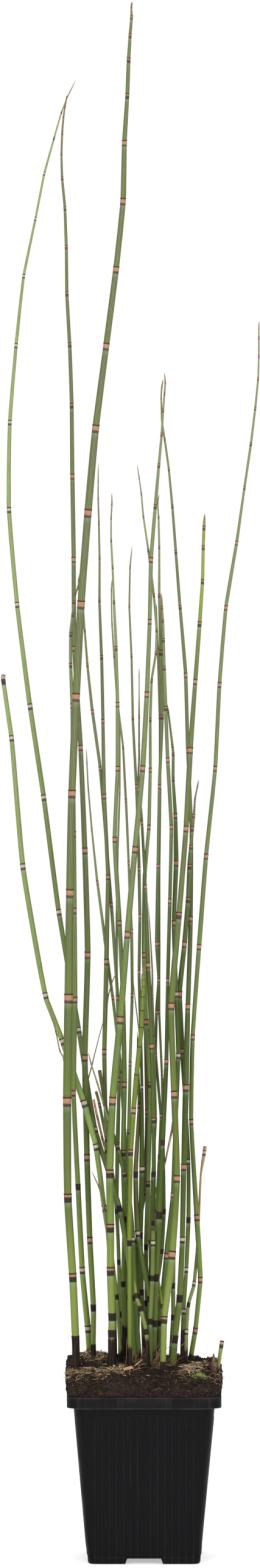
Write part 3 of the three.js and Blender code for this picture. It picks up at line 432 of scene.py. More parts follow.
def soil_top(x, y):
    """Height of the smooth top: a slope, three waves, the mound, and the falls at the edges."""
    waves = (0.9 * np.sin(x / 6.1 + 1.3) * np.cos(y / 5.3 - 0.4) + 0.6 * np.sin(x / 3.4 + y / 4.1)
             + 0.5 * np.cos(x / 9.7 - y / 3.7))
    mound_x, mound_y, mound_height, mound_spread = SOIL_MOUND
    mound = mound_height * np.exp(-((x - mound_x) ** 2 + (y - mound_y) ** 2) / mound_spread)
    edge = np.maximum(np.abs(x), np.abs(y)) / SOIL_HALF
    fall = SOIL_FALL[1] * np.clip((edge - SOIL_FALL[0]) / (1 - SOIL_FALL[0]), 0, 1.6)
    low_right = SOIL_LOW_RIGHT[2] * np.clip((x - SOIL_LOW_RIGHT[0]) / SOIL_LOW_RIGHT[1], 0, 1.1)
    return SOIL_FRONT + SOIL_RISE * (y + 50) + waves + mound - fall - low_right


def soil_relief(points):
    """How far the crumbs stand out: lumps at four sizes, each smaller one shallower."""
    return (1.2 * crumble(points, 7.5, 1) + 0.9 * crumble(points, 3.3, 2) + 0.55 * crumble(points, 1.5, 3)
            - 0.7 * np.abs(crumble(points, 2.4, 4)) + 0.35)


def soil_ground(x, y):
    """Height of the crumbly top."""
    height = soil_top(x, y)
    return height + soil_relief(np.stack([x, y, height], -1))


def square_loops(half, corner):
    """Rounded squares of those halves and corners, one a row, as x and y of their columns."""
    half, corner = half[:, None], corner[:, None]
    reach = half - corner + corner * math.pi / 4
    along = (np.arange(SIDE_COLUMNS)[None] / SIDE_COLUMNS * 2 - 1) * reach
    x, y = side_outline(along, half, corner)
    turns = [(x, y), (-y, x), (-x, -y), (y, -x)]
    return np.hstack([turn[0] for turn in turns]), np.hstack([turn[1] for turn in turns])


def soil_skin():
    """Points and faces of the root ball: loops that shrink over the top, loops down the side, which
    bulges and then tucks in to the rim, and plain loops inside the pot. The crumbs push the top
    upwards and the side outwards, and fade out at the rim."""
    share = np.linspace(0.012, 1, 62)
    top_x, top_y = square_loops(SOIL_HALF * share, SOIL_CORNER * share)
    top_z = soil_top(top_x, top_y)
    drop = np.linspace(0, 1, 24)[1:]
    bulge = SOIL_HALF + 0.5 * np.sin(math.pi * drop) - SOIL_TUCK * drop
    side_x, side_y = square_loops(bulge, np.full(len(drop), SOIL_CORNER))
    side_z = top_z[-1] * (1 - drop[:, None]) + SOIL_SIDE_FOOT * drop[:, None]
    bottom = FLOOR_TOP + 0.35
    inner = np.array([(53.3, 9, POT_HEIGHT), (53.3, 9, 113.7), (48.6, 9.8, RIM_FOOT), (38.8, 5, bottom),
                      (20, 5, bottom), (0.5, 0.5, bottom)])
    inner_x, inner_y = square_loops(inner[:, 0], inner[:, 1])
    inner_z = np.broadcast_to(inner[:, 2:], inner_x.shape)
    points = np.stack([np.vstack([top_x, side_x, inner_x]), np.vstack([top_y, side_y, inner_y]),
                       np.vstack([top_z, side_z, inner_z])], -1)
    tops, sides = len(share), len(drop)
    lean = np.zeros(len(points))
    lean[tops - 4:tops] = [0.15, 0.35, 0.6, 0.8]
    lean[tops:] = 1.0
    strength = np.ones(len(points))
    strength[tops:tops + sides] = np.clip((1 - drop) * 6, 0, 1)
    strength[tops + sides:] = 0
    outward = points[..., :2] / np.maximum(np.abs(points[..., :2]).max(-1, keepdims=True), 1e-6)
    push = soil_relief(points) * strength[:, None]
    points[..., :2] += outward * (push * lean[:, None])[..., None]
    points[..., 2] += push * (1 - lean[:, None])
    rows, columns = points.shape[:2]
    faces = grid_faces(rows, columns)[:, ::-1].tolist()
    flat = points.reshape(-1, 3)
    for end, facing in ((0, 1), (rows - 1, -1)):
        middle = len(flat)
        ring = end * columns + np.arange(columns)
        flat = np.vstack([flat, flat[ring].mean(axis=0)])
        fan = np.stack([np.full(columns, middle), ring, np.roll(ring, -1)], -1)
        faces += fan[:, ::facing].tolist()
    return flat, faces


def peat():
    """Dark brown peat, matt and a little damp, with paler specks and short fibres in it."""
    material, tree, shader = new_material("peat")
    place = wire(tree, "ShaderNodeTexCoord").outputs["Object"]
    lump = noise(tree, place, 260.0, 4.0)
    grain = noise(tree, place, 2300.0, 5.0)
    thread = noise(tree, place, 700.0, 3.0, stretch=(0.25, 1, 1.6))
    damp, dry = (0.0050, 0.0032, 0.0026, 1), (0.028, 0.017, 0.013, 1)
    colour = mix(tree, fade(tree, lump, 0.38, 0.66), damp, dry)
    colour = mix(tree, fade(tree, grain, 0.50, 0.62, 0, 0.85), colour, (0.085, 0.052, 0.038, 1))
    colour = mix(tree, fade(tree, grain, 0.47, 0.38, 0, 0.9), colour, (0.0022, 0.0014, 0.0012, 1))
    colour = mix(tree, fade(tree, thread, 0.62, 0.74, 0, 0.55), colour, (0.12, 0.075, 0.048, 1))
    tree.links.new(colour, shader.inputs["Base Color"])
    shader.inputs["Roughness"].default_value = 0.85
    shader.inputs["Specular IOR Level"].default_value = 0.15
    bump = wire(tree, "ShaderNodeBump", {"Height": grain, "Strength": 1.0, "Distance": 0.0008})
    tree.links.new(bump.outputs[0], shader.inputs["Normal"])
    return material


soil_mesh = mesh_of("peat_root_ball", *soil_skin())
soil_mesh.materials.append(peat())
link_piece("peat_root_ball", soil_mesh, "soil")

# ---------------------------------------------------------------- litter on the soil
# Short curved fibres, roots and crumbs lie on the peat and stick out of it, most of them dark and
# some as pale as straw, with denser tufts of dead roots, a little moss and a few mineral grains.
LITTER_RNG = np.random.default_rng(7)
TOP_FIBRES = 4200  # all over the top, and on the side above the rim
SIDE_FIBRES = 2300
SIDE_RISE = 11.0  # how far up the side they go
TUFTS = {  # middle, spread, how many, length, thickness, darkest and palest tone, rise, moss
    "mound": ((-36, 32), (9, 12), 560, 3.4, 0.46, (0.42, 1.15), 2.4, 0),
    "cream_bits": ((4, 4), (6, 10), 240, 2.6, 0.60, (0.62, 1.2), 2.6, 0),
    "front_left": ((-43, -30), (7, 13), 380, 3.8, 0.40, (0.35, 0.95), 1.6, 0),
    "left_edge": ((-53, -20), (2, 24), 300, 2.2, 0.46, (0.15, 0.95), 1.2, 0),
    "left_middle": ((-30, -38), (6, 8), 170, 3.4, 0.40, (0.45, 0.98), 1.2, 0),
    "centre": ((-18, -22), (7, 12), 280, 3.2, 0.46, (0.40, 1.15), 1.8, 0),
    "root_bed": ((7, 2), (9, 15), 380, 4.6, 0.36, (0.40, 0.98), 2.4, 0),
    "root_stream": ((32, -22), (3.4, 17), 300, 4.6, 0.50, (0.55, 1.15), 2.0, 0),
    "right_back": ((40, 6), (5, 14), 320, 3.4, 0.46, (0.40, 1.1), 2.4, 0),
    "right_edge": ((52, -22), (2.5, 22), 240, 2.2, 0.42, (0.25, 0.95), 1.2, 0),
    "moss": ((40.5, -42), (4.5, 5.5), 300, 1.7, 0.42, (0.40, 0.85), 1.6, 1),
    "moss_by_stem": ((33, -6), (3, 6), 90, 1.6, 0.42, (0.30, 0.60), 1.2, 1),
}
LITTER_REACH = 56.0  # how far from the middle a fibre may end
ROOT_FAN = ((3, 4), (10, 12), 520, (0.45, -0.05, 0.75))  # middle, spread, how many and which way
STRAWS = [  # foot, way, bow, length and radius of the stray straws and curled roots
    ((-7.5, -14, 138), (0.78, 0.1, 0.62), (0, 0, 0.02), 8.5, 0.75),
    ((33.5, 15, 168), (-0.55, -0.3, 0.5), (0.1, 0, 0.9), 5.5, 0.16),
    ((22, -12, 146), (0.35, -0.2, 0.92), (0.45, 0, -0.2), 19, 0.16),
    ((17, -16, 150), (0.5, -0.1, 0.86), (-0.3, 0, 0.1), 17, 0.14)]
CRUMBS = [(3600, 0.25, 0.95, 0.0, 0.34), (520, 0.2, 0.42, 0.55, 1.0)]  # how many, radius and tone
FACING = [0.4, 0.2, 0.2, 0.2]  # share of the side's fibres and crumbs on each side, front first


def fibres(start, way, bow, length, radius, steps):
    """Three-sided curved fibres. A fibre's line is its start, plus its way times the distance, plus
    its bow times the square of the share covered. It swells from a point and ends in one."""
    count = len(start)
    share = np.linspace(0, 1, steps + 2)[1:-1]
    line = (start[:, None] + way[:, None] * (length[:, None] * share)[..., None]
            + bow[:, None] * (length[:, None] * share ** 2)[..., None])
    tip = start + (way + bow) * length[:, None]
    across = np.cross(way, [0.31, 0.52, 0.79])
    across /= np.linalg.norm(across, axis=1, keepdims=True)
    over = np.cross(way, across)
    swell = np.sqrt(np.clip(1 - (2 * share - 1) ** 4, 0, 1)) * radius[:, None]
    turn = np.arange(3) * 2 * math.pi / 3
    ring = (np.cos(turn)[:, None] * across[:, None, None] + np.sin(turn)[:, None] * over[:, None, None])
    body = line[:, :, None] + ring * swell[..., None, None]
    points = np.concatenate([start[:, None], body.reshape(count, -1, 3), tip[:, None]], 1)
    faces = [(0, 1 + (k + 1) % 3, 1 + k) for k in range(3)]
    for low in range(1, 1 + 3 * (steps - 1), 3):
        for k in range(3):
            after = (k + 1) % 3
            faces += [(low + k, low + after, low + 3 + after), (low + k, low + 3 + after, low + 3 + k)]
    last = 1 + 3 * (steps - 1)
    faces += [(last + k, last + (k + 1) % 3, 3 * steps + 1) for k in range(3)]
    each = points.shape[1]
    every = np.array(faces)[None] + each * np.arange(count)[:, None, None]
    return points.reshape(-1, 3), every.reshape(-1, 3), each


def crumbs(middle, size):
    """Small uneven lumps: an icosahedron each, stretched along its own axes and roughened."""
    blank = bmesh.new()
    bmesh.ops.create_icosphere(blank, subdivisions=1, radius=1)
    ball = np.array([vert.co[:] for vert in blank.verts])
    triangles = np.array([[vert.index for vert in face.verts] for face in blank.faces])
    blank.free()
    count = len(middle)
    stretch = LITTER_RNG.uniform(0.55, 1.25, (count, 1, 3))
    rough = LITTER_RNG.uniform(0.75, 1.2, (count, len(ball), 1))
    axes = np.linalg.qr(LITTER_RNG.normal(size=(count, 3, 3)))[0]
    axes *= np.sign(np.linalg.det(axes))[:, None, None]
    points = middle[:, None] + (ball * stretch * rough * size[:, None, None]) @ axes
    every = triangles[None] + len(ball) * np.arange(count)[:, None, None]
    return points.reshape(-1, 3), every.reshape(-1, 3), len(ball)


def top_fibres(x, y, length, radius, rise):
    """Fibres that lie on the top: each starts a little under the surface, goes a random way round,
    climbs by a random part of the rise, and bows down again. One that would end past the litter's
    reach is turned back, or else cut short."""
    count = len(x)
    angle = LITTER_RNG.uniform(0, 2 * math.pi, count)
    angle = np.where(np.abs(x + length * np.cos(angle)) > LITTER_REACH, math.pi - angle, angle)
    angle = np.where(np.abs(y + length * np.sin(angle)) > LITTER_REACH, -angle, angle)
    end_x, end_y = x + length * np.cos(angle), y + length * np.sin(angle)
    past = np.maximum(np.abs(end_x), np.abs(end_y)) > LITTER_REACH
    length = np.where(past, 0.35 * length, length)
    climb = np.minimum(rise / length * LITTER_RNG.uniform(0.0, 2.2, count), 1.8)
    end_x, end_y = x + length * np.cos(angle), y + length * np.sin(angle)
    ground, end_ground = soil_ground(x, y), soil_ground(end_x, end_y)
    slope = np.clip((end_ground - ground) / length, -0.5, 0.5)
    way = np.stack([np.cos(angle), np.sin(angle), slope + climb], -1)
    bow = LITTER_RNG.normal(0, 0.75, (count, 3)) * np.where(past, 0.3, 1.0)[:, None]
    bow[:, 2] = -climb * LITTER_RNG.uniform(0.5, 1.1, count)
    start = np.stack([x, y, ground + LITTER_RNG.uniform(-0.3, 0.35, count)], -1)
    return fibres(start, way, bow, length, radius, 3)


def turned(values, side):
    """Places or ways made for the front, turned by so many quarters round the upright."""
    x, y, z = values.T
    cos, sin = np.cos(side * math.pi / 2), np.sin(side * math.pi / 2)
    return np.stack([x * cos - y * sin, x * sin + y * cos, z], -1)


def side_fibres(count):
    """Fibres on the crumbly side above the rim, more of them on the front, lying along it."""
    side = LITTER_RNG.choice(4, count, p=FACING)
    along = LITTER_RNG.uniform(-50, 50, count)
    up = LITTER_RNG.uniform(0.06, 1, count)
    angle = LITTER_RNG.normal(0, 0.75, count) + math.pi * LITTER_RNG.choice(2, count)
    length = LITTER_RNG.lognormal(0.95, 0.45, count)
    outward = LITTER_RNG.uniform(-0.15, 0.2, count)
    out = SOIL_HALF + 0.45 - SOIL_TUCK * (1 - up) + 0.3 * np.sin(math.pi * up)
    start = np.stack([along, -out, SOIL_SIDE_FOOT + up * SIDE_RISE], -1)
    way = np.stack([np.cos(angle), -outward, 0.6 * np.sin(angle)], -1)
    bow = LITTER_RNG.normal(0, 0.4, (count, 3))
    bow[:, 1] = np.abs(bow[:, 1]) * 0.25
    thick = LITTER_RNG.uniform(0.08, 0.18, count)
    return fibres(turned(start, side), turned(way, side), turned(bow, side), length, thick, 3)


def spread(count, reach=0.99):
    """So many random places on the soil, as x and y."""
    return LITTER_RNG.uniform(-SOIL_HALF * reach, SOIL_HALF * reach, (2, count))


def loose_fibres():
    """The fibres all over the top, then those of each tuft, then those on the crumbly side: for
    each group its points, faces and points a fibre, its tones, and how mossy it is."""
    x, y = spread(TOP_FIBRES)
    length = LITTER_RNG.lognormal(0.95, 0.45, TOP_FIBRES)
    tone = np.clip(LITTER_RNG.normal(0.30, 0.25, TOP_FIBRES), 0.02, 1.0)
    radius = LITTER_RNG.uniform(0.08, 0.22, TOP_FIBRES)
    groups = [(top_fibres(x, y, length, radius, 1.1), tone, 0.0)]
    for (mid_x, mid_y), (wide, deep), count, long, thick, (low, high), rise, mossy in TUFTS.values():
        x = np.clip(mid_x + wide * LITTER_RNG.normal(0, 0.6, count), -SOIL_HALF, SOIL_HALF)
        y = np.clip(mid_y + deep * LITTER_RNG.normal(0, 0.6, count), -SOIL_HALF, SOIL_HALF)
        length = 0.72 * long * LITTER_RNG.lognormal(0, 0.45, count)
        radius = thick * LITTER_RNG.uniform(0.2, 0.65, count)
        tone = low + (high - low) * LITTER_RNG.random(count) ** 1.1
        groups.append((top_fibres(x, y, length, radius, rise), tone, mossy))
    tone = np.clip(LITTER_RNG.normal(0.2, 0.16, SIDE_FIBRES), 0.02, 0.9)
    groups.append((side_fibres(SIDE_FIBRES), tone, 0.0))
    return groups


def dead_roots():
    """The fan of thin dead roots that leans out between the stems, and the stray straws."""
    (mid_x, mid_y), (wide, deep), count, lean = ROOT_FAN
    x = mid_x + wide * LITTER_RNG.normal(0, 0.6, count)
    y = mid_y + deep * LITTER_RNG.normal(0, 0.6, count)
    start = np.stack([x, y, soil_ground(x, y) - 0.5], -1)
    way = np.array(lean) + LITTER_RNG.normal(0, 0.34, (count, 3))
    bow = LITTER_RNG.normal(0, 0.45, (count, 3))
    length = np.minimum(LITTER_RNG.lognormal(1.9, 0.5, count), 15)
    fan = fibres(start, way, bow, length, LITTER_RNG.uniform(0.07, 0.18, count), 6)
    foot, way, bow, length, radius = [np.array(column, float) for column in zip(*STRAWS)]
    strays = fibres(foot, way, bow, length, radius, 10)
    fan_tone = 0.3 + 0.6 * LITTER_RNG.random(count) ** 1.1
    return [(fan, fan_tone, 0.0), (strays, np.full(len(foot), 0.74), 0.0)]


def loose_crumbs():
    """Crumbs of peat and a few pale grains, on the top and on the crumbly side."""
    groups = []
    for count, small, large, low, high in CRUMBS:
        x, y = spread(count, 1.0)
        size = small * (large / small) ** LITTER_RNG.random(count) ** 1.5
        place = np.stack([x, y, soil_ground(x, y) + 0.2 * size], -1)
        groups.append((crumbs(place, size), low + (high - low) * LITTER_RNG.random(count) ** 1.6, 0.0))
        half = count // 2
        side = LITTER_RNG.choice(4, half, p=FACING)
        along = LITTER_RNG.uniform(-52, 52, half)
        up = LITTER_RNG.uniform(0.06, 0.9, half)
        out = SOIL_HALF + LITTER_RNG.uniform(0.0, 0.9, half) - SOIL_TUCK * (1 - up)
        place = np.stack([along, -out, SOIL_SIDE_FOOT + up * (SOIL_FRONT - SOIL_SIDE_FOOT)], -1)
        size = 0.7 * small * (large / small) ** LITTER_RNG.random(half) ** 1.5
        tone = low + (high - low) * LITTER_RNG.random(half) ** 1.8
        groups.append((crumbs(turned(place, side), size), tone, 0.0))
    return groups


def lay_litter(name, groups):
    """One piece from such groups, with each point's tone and moss as its marks."""
    points, faces, marks, first = [], [], [], 0
    for (group_points, group_faces, each), tone, mossy in groups:
        points.append(group_points)
        faces.append(group_faces + first)
        first += len(group_points)
        tones = np.repeat(tone, each)
        marks.append(np.stack([tones, np.full(len(tones), mossy), np.zeros(len(tones))], -1))
    mesh = mesh_of(name, np.vstack(points), np.vstack(faces))
    mark = mesh.attributes.new("litter", "FLOAT_VECTOR", "POINT")
    mark.data.foreach_set("vector", np.vstack(marks).astype(np.float32).ravel())
    mesh.materials.append(LITTER_SKIN)
    link_piece(name, mesh)


def litter_look():
    """Matt plant litter whose colour goes with a fibre's tone: black-brown, brown, straw and
    off-white. Moss is yellow green."""
    material, tree, shader = new_material("litter")
    mark = wire(tree, "ShaderNodeAttribute", attribute_name="litter").outputs["Vector"]
    tone, moss, _ = wire(tree, "ShaderNodeSeparateXYZ", {0: mark}).outputs
    place = wire(tree, "ShaderNodeTexCoord").outputs["Object"]
    speck = noise(tree, place, 900.0, 3.0)
    tone = calc(tree, "ADD", tone, calc(tree, "MULTIPLY_ADD", speck, 0.3, -0.15))
    colour = mix(tree, fade(tree, tone, 0.05, 0.40), (0.008, 0.0055, 0.0045, 1), (0.055, 0.032, 0.021, 1))
    colour = mix(tree, fade(tree, tone, 0.40, 0.64), colour, (0.29, 0.165, 0.080, 1))
    colour = mix(tree, fade(tree, tone, 0.64, 0.90), colour, (0.70, 0.55, 0.36, 1))
    green = mix(tree, fade(tree, tone, 0.3, 0.8), (0.09, 0.12, 0.03, 1), (0.42, 0.50, 0.16, 1))
    colour = mix(tree, moss, colour, green)
    tree.links.new(colour, shader.inputs["Base Color"])
    shader.inputs["Roughness"].default_value = 0.8
    shader.inputs["Specular IOR Level"].default_value = 0.2
    return material


LITTER_SKIN = litter_look()
lay_litter("loose_fibres", loose_fibres())
lay_litter("dead_roots", dead_roots())
lay_litter("loose_crumbs", loose_crumbs())

# ---------------------------------------------------------------- stalk piece
# A short cut piece of an old stalk, dry and split lengthwise, lies on the soil. It is a ridged
# tube, open at both ends, with a thin wall.
STALK_TURN = 8.0  # degrees round the upright, and how far its right end is raised
STALK_TILT = 14.0
STALK_RADIUS = 1.7
STALK_HALF = 3.55  # half its length


def stalk_look():
    """Dry tan stalk with a fine lengthwise grain and darker cloudy patches."""
    material, tree, shader = new_material("dry_stalk")
    place = wire(tree, "ShaderNodeTexCoord").outputs["Object"]
    cloud = noise(tree, place, 500.0, 4.0)
    grain = noise(tree, place, 1400.0, 3.0, stretch=(0.12, 1, 1))
    colour = mix(tree, fade(tree, grain, 0.3, 0.7), (0.44, 0.23, 0.125, 1), (0.62, 0.38, 0.23, 1))
    colour = mix(tree, fade(tree, cloud, 0.5, 0.8, 0, 0.7), colour, (0.22, 0.115, 0.07, 1))
    tree.links.new(colour, shader.inputs["Base Color"])
    shader.inputs["Roughness"].default_value = 0.7
    shader.inputs["Specular IOR Level"].default_value = 0.25
    bump = wire(tree, "ShaderNodeBump", {"Height": grain, "Strength": 0.4, "Distance": 0.0002})
    tree.links.new(bump.outputs[0], shader.inputs["Normal"])
    return material


def make_stalk():
    """Rings round the stalk's own axis: out along the outside, in over the end and back along the
    bore. Twelve ridges are a cosine wave of the radius, and two sine waves cut the ends uneven."""
    low, high = [np.array(corner) * 1000 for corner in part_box("stalk_piece")]
    middle = (low + high) / 2
    turn, tilt = math.radians(STALK_TURN), math.radians(STALK_TILT)
    way = np.array([math.cos(turn) * math.cos(tilt), math.sin(turn) * math.cos(tilt), math.sin(tilt)])
    across = np.array([-math.sin(turn), math.cos(turn), 0])
    over = np.cross(way, across)
    angle = np.linspace(0, 2 * math.pi, 48, endpoint=False)
    ridge = 1 + 0.035 * np.cos(12 * angle)
    uneven = 0.25 * np.sin(2 * angle + 0.6) + 0.12 * np.sin(5 * angle)
    outward = np.cos(angle)[:, None] * across + np.sin(angle)[:, None] * over
    half = STALK_HALF
    outside = [(-half, 0.97, 1), (-half + 0.2, 1.0, 1), (-2.2, 1.0, 0), (-1.0, 0.985, 0), (0.4, 0.97, 0),
               (1.8, 0.955, 0), (half - 0.2, 0.94, 1), (half, 0.91, 1)]
    inside = [(half, 0.76, 1), (half - 0.3, 0.74, 1), (0, 0.76, 0), (-half + 0.3, 0.78, 1),
              (-half, 0.8, 1)]
    rows = []
    for place, share, end in outside + inside:
        step = (place + uneven * end * np.sign(place))[:, None]
        radius = (STALK_RADIUS * share * ridge)[:, None]
        rows.append(middle + way * step + radius * outward)
    points = np.array(rows)
    faces = grid_faces(len(rows) + 1, len(angle)) % (len(rows) * len(angle))
    mesh = mesh_of("old_stalk_piece", points.reshape(-1, 3), faces[:, ::-1].tolist())
    mesh.set_sharp_from_angle(angle=math.radians(50))
    mesh.materials.append(stalk_look())
    link_piece("old_stalk_piece", mesh, "stalk_piece")


make_stalk()

# ---------------------------------------------------------------- bud
# A young shoot that has just come through the soil: four sheaths of pointed scales, each coming
# out of the one below, drawn together to a tip that ends in a fine hair.
BUD_SHEATHS = [  # height of the sheath's foot and rim over the soil, and its radius there
    (-8.0, 4.2, 1.95, 2.30), (3.6, 8.6, 2.05, 2.15), (7.6, 12.0, 1.70, 1.30), (11.2, 14.2, 1.0, 0.55)]
BUD_RINGS = [  # up each sheath: share of its height, how thick, and share of the scales' rise
    (0, 1, 0), (0.3, 1.01, 0), (0.6, 1.03, 0), (0.85, 1.02, 0.5), (1, 1, 1), (1, 0.9, 0.9)]
BUD_HAIR = 17.0
BUD_HAIR_RINGS = [(14.6, 0.3), (15.2, 0.14), (16.2, 0.09)]  # height over the soil and radius
BUD_SCALES = 7


def bud_look():
    """Brown papery scales with dark feet and pale streaks, darker towards the soil and between the
    scales."""
    material, tree, shader = new_material("bud_scales")
    mark = wire(tree, "ShaderNodeAttribute", attribute_name="scale").outputs["Vector"]
    up, crest, height = wire(tree, "ShaderNodeSeparateXYZ", {0: mark}).outputs
    place = wire(tree, "ShaderNodeTexCoord").outputs["Object"]
    streak = noise(tree, place, 1300.0, 3.0, stretch=(1, 1, 0.12))
    colour = mix(tree, fade(tree, up, 0.0, 0.8), (0.028, 0.015, 0.012, 1), (0.125, 0.064, 0.045, 1))
    colour = mix(tree, fade(tree, streak, 0.52, 0.72, 0, 0.6), colour, (0.36, 0.24, 0.17, 1))
    colour = mix(tree, fade(tree, crest, 0.2, 0.0, 0.0, 0.6), colour, (0.02, 0.011, 0.009, 1))
    colour = mix(tree, fade(tree, height, 0.42, 0.05, 0.0, 0.82), colour, (0.016, 0.010, 0.009, 1))
    tree.links.new(colour, shader.inputs["Base Color"])
    shader.inputs["Roughness"].default_value = 0.55
    shader.inputs["Specular IOR Level"].default_value = 0.25
    return material


def make_bud():
    """Rings of eight points a scale. A sheath's radius runs evenly from its foot to its rim, and its
    rim is pulled up to a point at the middle of each scale; the next sheath starts inside it. The
    marks are the share up the sheath, the crest of a scale, and the share up the bud."""
    low, high = [np.array(corner) * 1000 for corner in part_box("bud")]
    middle_x, middle_y = (low + high)[:2] / 2
    ground = low[2] - BUD_SHEATHS[0][0]
    columns = 8 * BUD_SCALES
    angle = np.linspace(0, 2 * math.pi, columns, endpoint=False)
    rows, marks = [], []
    for number, (foot, rim, foot_radius, rim_radius) in enumerate(BUD_SHEATHS):
        crest = np.abs(np.cos(BUD_SCALES * angle / 2 + number * math.pi / 2))
        tooth = crest ** 2 * (rim - foot) * 0.24
        for share, thick, lift in BUD_RINGS:
            radius = (foot_radius + (rim_radius - foot_radius) * share) * thick * (1 + 0.04 * crest)
            radius = radius * (1 - 0.16 * crest * lift)
            z = ground + foot + (rim - foot) * share + tooth * lift
            x, y = middle_x + radius * np.cos(angle), middle_y + radius * np.sin(angle)
            rows.append(np.stack([x, y, z], -1))
            marks.append(np.stack([np.full(columns, share), crest, (z - ground) / BUD_HAIR], -1))
    for z, radius in BUD_HAIR_RINGS:
        rows.append(np.stack([middle_x + radius * np.cos(angle), middle_y + radius * np.sin(angle),
                              np.full(columns, ground + z)], -1))
        marks.append(np.tile([1.0, 1.0, 1.0], (columns, 1)))
    points = np.array(rows).reshape(-1, 3)
    ends = [[middle_x, middle_y, low[2]], [middle_x + 0.3, middle_y, ground + BUD_HAIR]]
    faces = grid_faces(len(rows), columns).tolist()
    ring = np.arange(columns)
    top = (len(rows) - 1) * columns + ring
    faces += np.stack([np.full(columns, len(points)), np.roll(ring, -1), ring], -1).tolist()
    faces += np.stack([np.full(columns, len(points) + 1), top, np.roll(top, -1)], -1).tolist()
    mesh = mesh_of("scaly_bud", np.vstack([points, ends]), faces)
    mark = mesh.attributes.new("scale", "FLOAT_VECTOR", "POINT")
    values = np.vstack([np.array(marks).reshape(-1, 3), [[0, 1, 0], [1, 1, 1]]])
    mark.data.foreach_set("vector", values.astype(np.float32).ravel())
    mesh.materials.append(bud_look())
    link_piece("scaly_bud", mesh, "bud")


make_bud()

# ---------------------------------------------------------------- stems
# Horsetail stems are hollow ridged tubes in stacked joints. Each joint ends in a sheath of fused
# leaves, with a dark foot, a tan or ashy middle, a thin dark ring and small tan teeth, out of which
# the next joint grows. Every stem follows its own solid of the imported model, joint by joint.
SHEATH_RIM = 1.1  # a sheath's rim against the stem below it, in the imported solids
NECK_RISE = 0.5  # from a rim to the narrow neck above it, there
FOOT_BURIED = 8.0  # how far under the collar of its solid a stem's own foot goes
SOIL_OVER_COLLAR = 1.5  # and how far over that collar the soil is
SHEATH_LOOKS = {  # share that is tan, how ashy that is, how far the teeth stand out, how marked
    "k": (0.10, 0.0, 0.5, 1.0), "b": (0.38, 0.0, 0.8, 0.95), "t": (0.68, 0.05, 0.95, 0.9),
    "w": (0.60, 0.9, 0.8, 0.9), "r": (0.0, 0.0, 0.3, 0.12), "n": (0.3, 0.0, 0.0, 0.0)}
NO_SHEATH = (0.0, 0.0, 0.0, 1.0)
STEM_SHEATHS = {  # each sheath's look from the soil up; the last one goes on to the tip
    "stem_01": "kbbttttttttttttbbb", "stem_02": "kkbbbttttttttbbb", "stem_03": "wkwwwwwwwwwwwwb",
    "stem_04": "kktttttttttbbb", "stem_05": "kkwtttttttb", "stem_06": "kbttttbtttb",
    "stem_07": "tttttttttttb", "stem_08": "kkkktttttb", "stem_09": "wwkttttttb", "stem_10": "kwwwwwwwwk",
    "stem_11": "kkbtttttb", "stem_12": "kkbttttttb", "stem_13": "kkbbtttttb", "stem_14": "kkktttttttb",
    "stem_15": "kkkbttttb", "stem_16": "kkwwtttttb", "stem_17": "wwkwttttb", "stem_18": "kttkwwtttb",
    "stem_19": "kbtrrrrrrrr", "stem_27": "kwkb", "stem_30": "kwtb", "stem_32": "kkww",
    "stem_33": "wkwknnw", "stem_43": "n"}
SHEATHS_REST = "kkkbtttttb"  # for every other stem
BASE_STAIN = {  # how far up from the soil a stem is stained brown-black
    "stem_01": 30, "stem_02": 17, "stem_04": 12, "stem_06": 9, "stem_05": 0, "stem_07": 2, "stem_09": 0,
    "stem_33": 8, "stem_43": 0}
BASE_STAIN_REST = (2, 24)  # for every other stem, a random height in this range
YOUTH = {  # the height above which a young stem is yellower, and how much so under and over it
    "stem_06": (640, 0.0, 1.0), "stem_19": (395, 0.45, 1.0), "stem_34": (100, 0.5, 0.7),
    "stem_43": (100, 0.0, 0.12)}
STEM_TONES = {  # from 0, dark, to 1, light; at random for every other stem
    "stem_01": 0.05, "stem_02": 0.62, "stem_03": 0.75, "stem_07": 0.55, "stem_05": 0.3,
    "stem_43": 0.15}
CLUMP_MIDDLE = (9.0, 8.0)  # stems near here get less light and stay darker
CLUMP_REACH = 34.0
FADED_FROM, FADED_TO = 1.45, 0.65  # a stem turns duller as its radius goes from here to there
HIDDEN_TIPS = ("stem_26", "stem_27", "stem_28", "stem_29", "stem_34")  # these end green, behind others
END_SHEATHS = {  # cut stems that end in a sheath: its height and its look
    "stem_10": (4.2, (0.9, 0.45, 0.0, 0.9)), "stem_43": (5.6, (0.50, 0.45, 0.0, 0.9))}
STEM_RNG = np.random.default_rng(41)


def stem_rings(node):
    """Centre and radius of each ring of a stem's solid, from the buried end up. The lowest points
    are ring 0, and each next ring is what the edges reach from the one before."""
    blank = bmesh.new()
    blank.from_mesh(frame["nodes"][node].data)
    bmesh.ops.remove_doubles(blank, verts=blank.verts, dist=3e-6)
    points = np.array([vert.co[:] for vert in blank.verts]) * 1000
    edges = np.array([[vert.index for vert in edge.verts] for edge in blank.edges])
    blank.free()
    edges = np.vstack([edges, edges[:, ::-1]])
    level = np.where(points[:, 2] < points[:, 2].min() + 0.02, 0, -1)
    step = 0
    while (level < 0).any():
        reached = edges[(level[edges[:, 0]] == step) & (level[edges[:, 1]] < 0), 1]
        step += 1
        level[reached] = step
    count = np.bincount(level)
    centres = np.stack([np.bincount(level, points[:, axis]) / count for axis in range(3)], -1)
    radius = np.zeros(step + 1)
    np.maximum.at(radius, level, np.linalg.norm(points - centres[level], axis=1))
    return centres, radius


